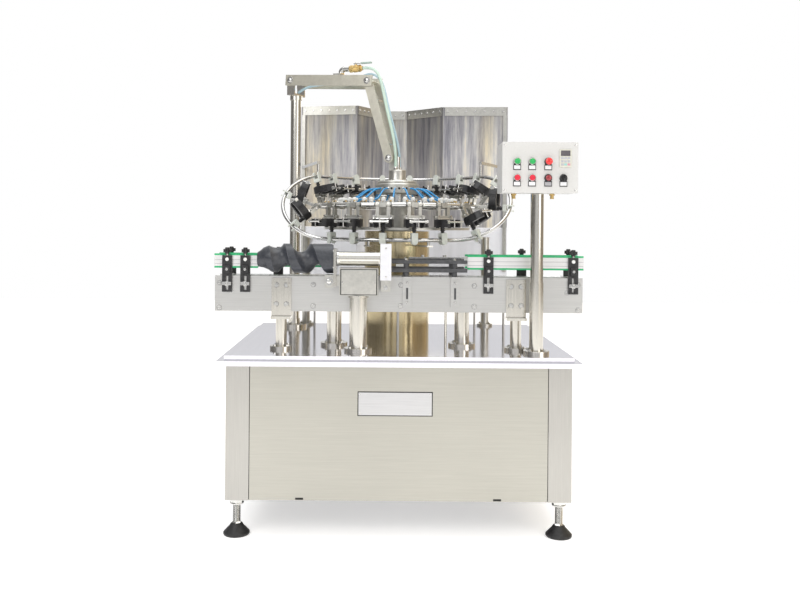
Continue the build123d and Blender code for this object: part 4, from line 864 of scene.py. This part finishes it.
def cam_rail():
    """One continuous bent rod: smooth samples along the cam's course, joined to a closed ring."""
    rail = Shape("cam_rail", "rail_steel")
    course = []
    for step in range(RAIL_SAMPLES):
        angle = CAM_CENTRE + 360 * step / RAIL_SAMPLES
        lifts = [attitude(angle + shift) for shift in (-6, -3, 0, 3, 6)]
        lift = radians(sum(lifts) / len(lifts))
        reach = PIVOT_RADIUS + RAIL_LEVER * cos(lift)
        course.append(around(reach, angle, PIVOT_Z + RAIL_LEVER * sin(lift)))
    rings = []
    for index, point in enumerate(course):
        along = (course[(index + 1) % RAIL_SAMPLES] - course[index - 1]).normalized()
        outward = Vector((point.x, point.y, 0)).normalized()
        side = (outward - along * outward.dot(along)).normalized()
        rings.append(ring_round(point, side, along.cross(side), RAIL_RADIUS, 20))
    rail.skin(rings, closed=True)
    rail.finish("base", "stainless", 0, ("flip_rail",))


grippers()
cam_rail()


# ---- carousel: elbows, hoses, distributor
HOSE_ROUTE = [(98.3, 1341), (128, 1341), (160, 1323), (190, 1298), (222, 1288), (246, 1288)]
ELBOW_AT, ELBOW_SPREAD, ELBOW_LOW = 262, 3.9, 1272
ELBOW_PROFILE = [(0, 0), (9.4, 0), (9.4, 5), (8.0, 9), (5.0, 11.6), (0, 12.6)]
HOSE_DIAMETER = 8 * MM


def elbows():
    """White push-in elbows in pairs, and the brass nozzle fittings near the rim."""
    white = Shape("push_in_elbows", "white_plastic", "brass", "blue_hose")
    for index in range(GRIPPER_COUNT):
        for side in (-1, 1):
            turn = STEP * (index + 0.5) + side * ELBOW_SPREAD
            foot = around(ELBOW_AT, turn, ELBOW_LOW)
            inward = around(1, turn, 0) * -1
            white.rod(foot, foot + Z * 3, 8.8, 1, sides=6)
            white.rod(foot + Z * 3, foot + Z * 16, 9.4, 0, 8.8)
            white.lathe(ELBOW_PROFILE, foot + Z * 14, Z, 0, 24)
            mouth = foot + Z * 16
            white.rod(mouth, mouth + inward * 15, 7.4, 0)
            white.rod(mouth + inward * 15, mouth + inward * 17, 6.0, 2)
    white.finish("carousel", "elbow_plastic", 0.5, ("hose_elbows",))
    brass = Shape("nozzle_fittings", "brass", "bright_steel", "black_plastic")
    for index in range(GRIPPER_COUNT):
        turn = STEP * (index + 0.5)
        for radius in (312, 334):
            foot = around(radius, turn + (4 if radius == 312 else -4), ELBOW_LOW)
            brass.rod(foot, foot + Z * 5, 6.5, 1, sides=6)
            brass.rod(foot + Z * 5, foot + Z * 11, 4, 0)
            brass.rod(foot + Z * 11, foot + Z * 13, 5, 1, 4.5)
        block = around(290, turn, ELBOW_LOW)
        heading = Matrix.Translation(block) @ Matrix.Rotation(radians(turn - 90), 4, "Z")
        brass.box((-9, -17, 0), (9, 17, 9), 1, heading)
        for y in (-11, 11):
            brass.cap_screw(heading @ Vector((0, y, 9)), Z, 3.4, 2.6, 1)
        barrel = STEP * index
        place = Matrix.Translation(around(366.3, barrel, PIVOT_Z))
        place @= Matrix.Rotation(radians(barrel - 90), 4, "Z")
        for side in (-1, 1):
            brass.rod((0, side * 26, 0), (0, side * 29, 0), 10.6, 1, matrix=place, sides=28)
        brass.rod((0, -28, 0), (0, 28, 0), 9.8, 1, matrix=place, sides=28)
        brass.hex_bolt(around(330, barrel, ELBOW_LOW), Z, 5.5, 4, 1)
    brass.finish("carousel", "stainless", 0.3)


def nurbs_cord(name, points, diameter, material, body):
    """Smooth hose through a route's control points."""
    data = bpy.data.curves.new(name, "CURVE")
    data.dimensions = "3D"
    data.bevel_depth = diameter / 2
    data.bevel_resolution = 4
    data.resolution_u = 10
    data.use_fill_caps = True
    spline = data.splines.new("NURBS")
    spline.points.add(len(points) - 1)
    for spot, point in zip(spline.points, points):
        spot.co = (*point, 1)
    spline.order_u = 3
    spline.use_endpoint_u = True
    data.materials.append(LOOKS[material])
    piece = show(name, data)
    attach(piece, body)
    return piece


def line_length(piece):
    """Length of a hose's own centreline."""
    depth = piece.data.bevel_depth
    piece.data.bevel_depth = 0
    mesh = bpy.data.meshes.new_from_object(piece)
    piece.data.bevel_depth = depth
    ends = [[mesh.vertices[index].co for index in edge.vertices] for edge in mesh.edges]
    length = sum((first - last).length for first, last in ends)
    bpy.data.meshes.remove(mesh)
    return length


def spray_hoses():
    first = None
    for index in range(GRIPPER_COUNT):
        turn = STEP * (index + 0.5) + ELBOW_SPREAD
        points = [around(radius, turn, z) * MM for radius, z in HOSE_ROUTE]
        name = f"spray_hose_{index + 1:02d}"
        hose = nurbs_cord(name, points, HOSE_DIAMETER, "blue_hose", "carousel")
        length = line_length(hose)
        first = first or hose
    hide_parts("spray_hoses")


def distributor():
    rotor = Shape("distributor_ring", "cast_steel", "painted_shade", "bright_steel")
    profile = [(0, 1318), (92, 1318), (98, 1322), (98, 1360), (94, 1364), (0, 1364)]
    rotor.lathe(profile, (0, 0, 0), Z, 0, 96)
    rotor.rod((0, 0, 1272), (0, 0, 1319), 30, 2, sides=48)
    rotor.rod((0, 0, 1272), (0, 0, 1278), 48, 2, sides=48)
    for index in range(GRIPPER_COUNT):
        # per gripper: a bright outlet with a hex, and a port opening painted dark as shade
        for shift, radius, material in ((ELBOW_SPREAD, 7.2, 2), (ELBOW_SPREAD + STEP / 2, 5.2, 1)):
            turn = STEP * (index + 0.5) + shift
            inner, outer = around(94, turn, 1341), around(99.5, turn, 1341)
            rotor.rod(inner, outer, radius, material)
            if material == 2:
                rotor.rod(outer, around(104, turn, 1341), 6, 2, sides=6)
    rotor.finish("carousel", "stainless", 0.5, ("distributor_rotor",))
    cap = Shape("distributor_head", "cast_steel", "bright_steel", "white_plastic")
    profile = [(0, 1364.6), (90, 1364.6), (90, 1373), (86, 1377), (44, 1378), (41, 1381), (40, 1384)]
    profile += [(40, 1424), (37, 1428), (0, 1428)]
    cap.lathe(profile, (0, 0, 0), Z, 0, 72)
    for spot in circle_points((0, 0), 72, 8, 22):
        cap.cap_screw((*spot, 1377), Z, 5, 4, 1)
    cap.rod((0, 0, 1428), (0, 0, 1487), 12, 1, sides=28)
    matrix = arm_matrix()
    lug = [(494, 1428), (538, 1428), (538, 1478)] + circle_points((516, 1478), 22, 12)[:7]
    cap.prism(lug, -8, 8, 0, matrix)
    for sideways in (-24, 24):
        foot = matrix @ Vector((534, 1427, sideways))
        cap.rod(foot, foot + Z * 8, 10, 1, sides=6)
        cap.rod(foot + Z * 8, foot + Z * 15, 8, 1, 7)
    cap.finish("base", "stainless", 0.6, ("distributor_cap",))


ARM_POST = Vector((-487, 217, 0))


def arm_matrix():
    """From arm millimetres (x along it from the post, y up, z towards the front) to the row frame."""
    along = -ARM_POST.normalized()
    sideways = Vector((along.y, -along.x, 0))
    return axes_at(along, Z, sideways, ARM_POST)


elbows()
spray_hoses()
distributor()

# ---- overhead arm and water supply
BEAM_START, ELBOW, WRIST = (0, 1862), (402, 1836), (509, 1480)
SUPPLY_HOSE = [
    (355, 0, 1905), (384, 1, 1905), (415, 5, 1895), (440, 8, 1868), (455, 11, 1826), (468, 14, 1776),
    (482, 17, 1720), (497, 19, 1664), (513, 21, 1608), (526, 23, 1552), (533, 24, 1500), (534, 24, 1460),
    (534, 24, 1428),
]
RETURN_HOSE = [
    (12, 0, 1809), (28, 0, 1818), (54, 0, 1830), (98, -1, 1839), (155, -2, 1841),
    (210, -3, 1839), (262, -4, 1839), (312, -6, 1848), (352, -12, 1872), (396, -14, 1880),
    (438, -16, 1854), (460, -17, 1796), (472, -19, 1738), (487, -20, 1682), (503, -21, 1626),
    (518, -23, 1570), (530, -24, 1514), (534, -24, 1468), (534, -24, 1428),
]


# rods along the pipe over the beam: start, end, radius, material, sides
SUPPLY_LINE = (
    (256, 306, 12.5, 0, 28), (288, 302, 17.5, 1, 6), (302, 334, 16, 1, 28), (310, 326, 18, 1, 8),
    (334, 344, 17, 1, 6), (344, 354, 10, 1, 20),
)


def arm_details():
    matrix = arm_matrix()
    pins = Shape("arm_pins", "bright_steel", "cast_steel", "tube_steel")
    for (along, z), reach in ((BEAM_START, 58), (ELBOW, 58), (WRIST, 50)):
        for side in (-1, 1):
            face = matrix @ Vector((along, z, side * reach))
            axis = (matrix.to_3x3() @ Vector((0, 0, side))).normalized()
            pins.hex_bolt(face, axis, 11, 6)
    for low, high in ((1772, 1793), (TABLE_Z + 15, TABLE_Z + 40)):
        pins.rod(ARM_POST + Z * low, ARM_POST + Z * high, 29, 2, sides=40)
    for along, z in ((428, 1749), (489.5, 1545)):
        pins.box((along - 16, z - 3, -44), (along + 16, z + 3, 44), 0, matrix)
    pins.finish("base", "stainless", 0.5)


def water_supply():
    matrix = arm_matrix()
    pipe = Shape("valve_and_riser", "bright_steel", "brass", "cast_steel")

    def at(along, z, sideways=0):
        return matrix @ Vector((along, z, sideways))

    pipe.box((225, 1856, -51.8), (261, 1880, 51.8), 2, matrix)
    pipe.rod(at(243, 1880), at(243, 1893), 12.5, 0, sides=28)
    pipe.rod(at(243, 1878), at(243, 1886), 17, 1, sides=6)
    bend = [at(257 - x, 1891 + z) for x, z in circle_points((0, 0), 14, 32)[:9]]
    pipe.tube(bend, 13.5, 0, 24)
    for start, end, radius, material, sides in SUPPLY_LINE:
        pipe.rod(at(start, 1905), at(end, 1905), radius, material, sides=sides)
    pipe.rod(at(318, 1905), at(318, 1922.8), 8, 1, sides=20)
    pipe.finish("base", "valve_brass", 0.5, ("water_pipe",))
    lever = Shape("valve_handle", "bright_steel", "lever_grip")
    lever.rod(at(318, 1923.2), at(318, 1931.4), 6, 0, sides=6)
    lever.box((308, 1926.4, -7.5), (352, 1929, 7.5), 0, matrix)
    lever.box((346, 1925, -7.8), (398, 1931.4, 7.8), 1, matrix)
    lever.finish("valve_lever", "valve_brass", 0.6, ("valve_lever",))
    for name, run, diameter, material in (
        ("supply_hose", SUPPLY_HOSE, 14, "clear_green_hose"),
        ("return_hose", RETURN_HOSE, 12, "clear_blue_hose"),
    ):
        points = [matrix @ Vector((along, z, sideways)) * MM for along, sideways, z in run]
        hose = nurbs_cord(name, points, diameter * MM, material, "base")
        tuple(points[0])
        line_length(hose)
    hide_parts("water_hoses")


arm_details()
water_supply()

# ---- splash guard
GUARD_PLAN = [(-491, 545), (-200, 485), (-70, 700), (60, 700), (243, 520), (574, 500)]
GUARD_LOW, GUARD_TOP, SKIRT_LOW = 1166, 1788, 912


def guard_spans():
    """Matrix at the middle of each straight panel (x along it, y to the back) and its half length."""
    for (x0, y0), (x1, y1) in zip(GUARD_PLAN, GUARD_PLAN[1:]):
        along = Vector((x1 - x0, y1 - y0, 0))
        half = along.length / 2
        along.normalize()
        yield axes_at(along, Vector((-along.y, along.x, 0)), Z, ((x0 + x1) / 2, (y0 + y1) / 2, 0)), half


def splash_guard():
    tones = range(1, len(GUARD_PANEL_LIGHT) + 1)
    sheet = Shape("guard_sheets", "cast_steel", *(f"guard_steel_{tone}" for tone in tones))
    skirt = Shape("guard_skirt", "skirt_film")
    trim = Shape("guard_bolts", "bright_steel", "cast_steel")
    for index, (matrix, half) in enumerate(guard_spans()):
        sheet.box((-half, 0, GUARD_LOW), (half, 1.5, GUARD_TOP), index + 1, matrix)
        sheet.box((-half, 1.5, GUARD_LOW), (half, 9, GUARD_LOW + 2), 0, matrix)
        skirt.box((-half, 0, SKIRT_LOW), (half, 1.5, GUARD_LOW - 2), 0, matrix)
        count = max(round(2 * half / 45), 2)
        for step in range(count):
            x = -half + 2 * half * (step + 0.5) / count
            trim.cap_screw(matrix @ Vector((x, -4, GUARD_TOP - 22)), matrix.to_3x3() @ -Y, 5.5, 4, 0)
        trim.box((-half + 2, -5, GUARD_TOP - 3), (half - 2, 1.4, GUARD_TOP - 0.2), 1, matrix)
    sheet.finish("base", "stainless", 0, ("splash_guard",))
    skirt.finish("base", "hose_clear", 0)
    trim.finish("base", "stainless", 0.3)


splash_guard()

# ---- control box
box_low, box_high = mm_box("control_box")
BOX_FRONT = box_low.y
COLUMNS = (442, 499, 560, 618)
UPPER_Z, LOWER_Z = 1424, 1362
BUTTONS = {
    "start_button_left": (COLUMNS[0], UPPER_Z, "green_cap", "button_green"),
    "start_button_right": (COLUMNS[1], UPPER_Z, "green_cap", "button_green"),
    "stop_button_left": (COLUMNS[0], LOWER_Z, "red_cap", "button_red"),
    "stop_button_right": (COLUMNS[1], LOWER_Z, "red_cap", "button_red"),
}


def control_box():
    """Sheet steel box with a screwed-on lid that stands out from it by a narrow shadow gap."""
    body = Shape("control_box_shell", "box_paint", "painted_shade", "bright_steel")
    depth = box_high.y - BOX_FRONT
    layers = ((1.5, 4, depth, 0), (3, 2.5, 4.2, 1), (0, 0, 2.6, 0), (6, depth - 3, depth - 0.2, 0))
    for inset, near, far, material in layers:
        low = (box_low.x + inset, BOX_FRONT + near, box_low.z + inset)
        high = (box_high.x - inset, BOX_FRONT + far, box_high.z - inset)
        body.box(low, high, material)
    middle = (box_low + box_high) / 2
    for dx in (-134, 134):
        for dz in (-87, 87):
            spot = (middle.x + dx, BOX_FRONT, middle.z + dz)
            body.lathe([(0, 0), (4.8, 0), (4.4, 1.6), (1.2, 2.6), (0, 2.6)], spot, -Y, 2, 20)
    body.finish("base", "box_paint", 1.6, ("control_box",))


def legend_plate(shape, x, z, material, rim):
    shape.box((x - 14.5, BOX_FRONT - 2.2, z - 33), (x + 14.5, BOX_FRONT, z - 12), rim)
    shape.box((x - 12, BOX_FRONT - 2.8, z - 29.5), (x + 12, BOX_FRONT - 2.0, z - 15.5), material)


def control_fittings():
    parts = Shape(
        "control_fittings_detail", "black_plastic", "bright_steel", "label_white", "keypad_body",
        "display", "key_grey", "key_teal", "key_rose", "lamp_red",
        "brass", "label_grey",
    )
    ring = [(11.5, 0), (14.7, 0), (14.7, 3), (13.6, 5), (12.4, 11), (11.5, 11.6), (11.5, 0)]
    spots = [(x, UPPER_Z) for x in COLUMNS[:3]] + [(x, LOWER_Z) for x in COLUMNS]
    for index, (x, z) in enumerate(spots):
        black = index in (2, 5, 6)
        parts.lathe(ring, (x, BOX_FRONT, z), -Y, 0 if black else 1, 40)
        parts.lathe([(11.6, 0), (15.0, 0), (15.0, 2), (11.6, 2), (11.6, 0)], (x, BOX_FRONT, z - 2), -Y, 0, 40)
        legend_plate(parts, x, z, 10 if index == 5 else 2, 0)
    dome = [(0, 3), (11.3, 3), (11.3, 12), (9.5, 15.5), (6, 17.4), (0, 18)]
    parts.lathe(dome, (COLUMNS[2], BOX_FRONT, LOWER_Z), -Y, 8, 32)
    keypad = Vector((625, BOX_FRONT, 1436))
    parts.box(keypad + Vector((-22.5, -4, -34)), keypad + Vector((22.5, 0, 34)), 3)
    parts.box(keypad + Vector((-18, -5.2, 9)), keypad + Vector((18, -3.8, 30)), 4)
    for row, materials in enumerate(((5, 5, 5), (5, 5, 5), (5, 6, 7))):
        for column, material in enumerate(materials):
            key = keypad + Vector((-12.5 + 12.5 * column, 0, 1 - 12 * row))
            parts.box(key + Vector((-4.8, -5.4, -3.6)), key + Vector((4.8, -3.8, 3.6)), material)
    middle_y = (box_low.y + box_high.y) / 2
    for x in (441, 590):
        parts.rod((x, middle_y, box_low.z - 7), (x, middle_y, box_low.z), 11, 9, sides=6)
        parts.rod((x, middle_y, box_low.z - 20), (x, middle_y, box_low.z - 7), 8, 9, 6.5)
    parts.finish("base", "knob_black", 0.4, ("control_fittings",))


def buttons():
    for name, (x, z, material, slot) in BUTTONS.items():
        cap = Shape(f"{name}_cap", material, "black_plastic")
        profile = [(0, 5), (11, 5), (11, 15.6), (10, 17.2), (8.2, 17.2), (7.6, 16.4), (0, 16.8)]
        cap.lathe(profile, (x, BOX_FRONT, z), -Y, 0, 32)
        cap.rod((x, BOX_FRONT - 6, z), (x, BOX_FRONT + 9, z), 8, 1)
        cap.finish(name, slot, 0.3, (name,))
    stop = Shape("stop_mushroom", "bright_red", "black_plastic")
    profile = [(0, 18), (12.5, 18), (13.5, 20), (13.4, 23), (11.5, 27), (7, 29.6), (0, 30)]
    stop.lathe(profile, (COLUMNS[2], BOX_FRONT, UPPER_Z), -Y, 0, 40)
    stop.rod((COLUMNS[2], BOX_FRONT - 20, UPPER_Z), (COLUMNS[2], BOX_FRONT + 9, UPPER_Z), 8, 1)
    stop.finish("emergency_stop", "button_red", 0.3, ("emergency_stop",))
    knob = Shape("selector_handle", "black_plastic", "label_white")
    x = COLUMNS[3]
    knob.lathe([(0, 5), (11, 5), (11, 12), (9.8, 13), (0, 13)], (x, BOX_FRONT, LOWER_Z), -Y, 0, 36)
    knob.box((x - 4, BOX_FRONT - 24, LOWER_Z - 10.3), (x + 4, BOX_FRONT - 12.6, LOWER_Z + 10.3))
    knob.box((x - 1.3, BOX_FRONT - 24.0, LOWER_Z - 1), (x + 1.3, BOX_FRONT - 23.6, LOWER_Z + 9.8), 1)
    knob.rod((x, BOX_FRONT - 6, LOWER_Z), (x, BOX_FRONT + 9, LOWER_Z), 8, 0)
    knob.finish("selector_knob", "knob_black", 0.5, ("selector_knob",))


control_box()
control_fittings()
buttons()
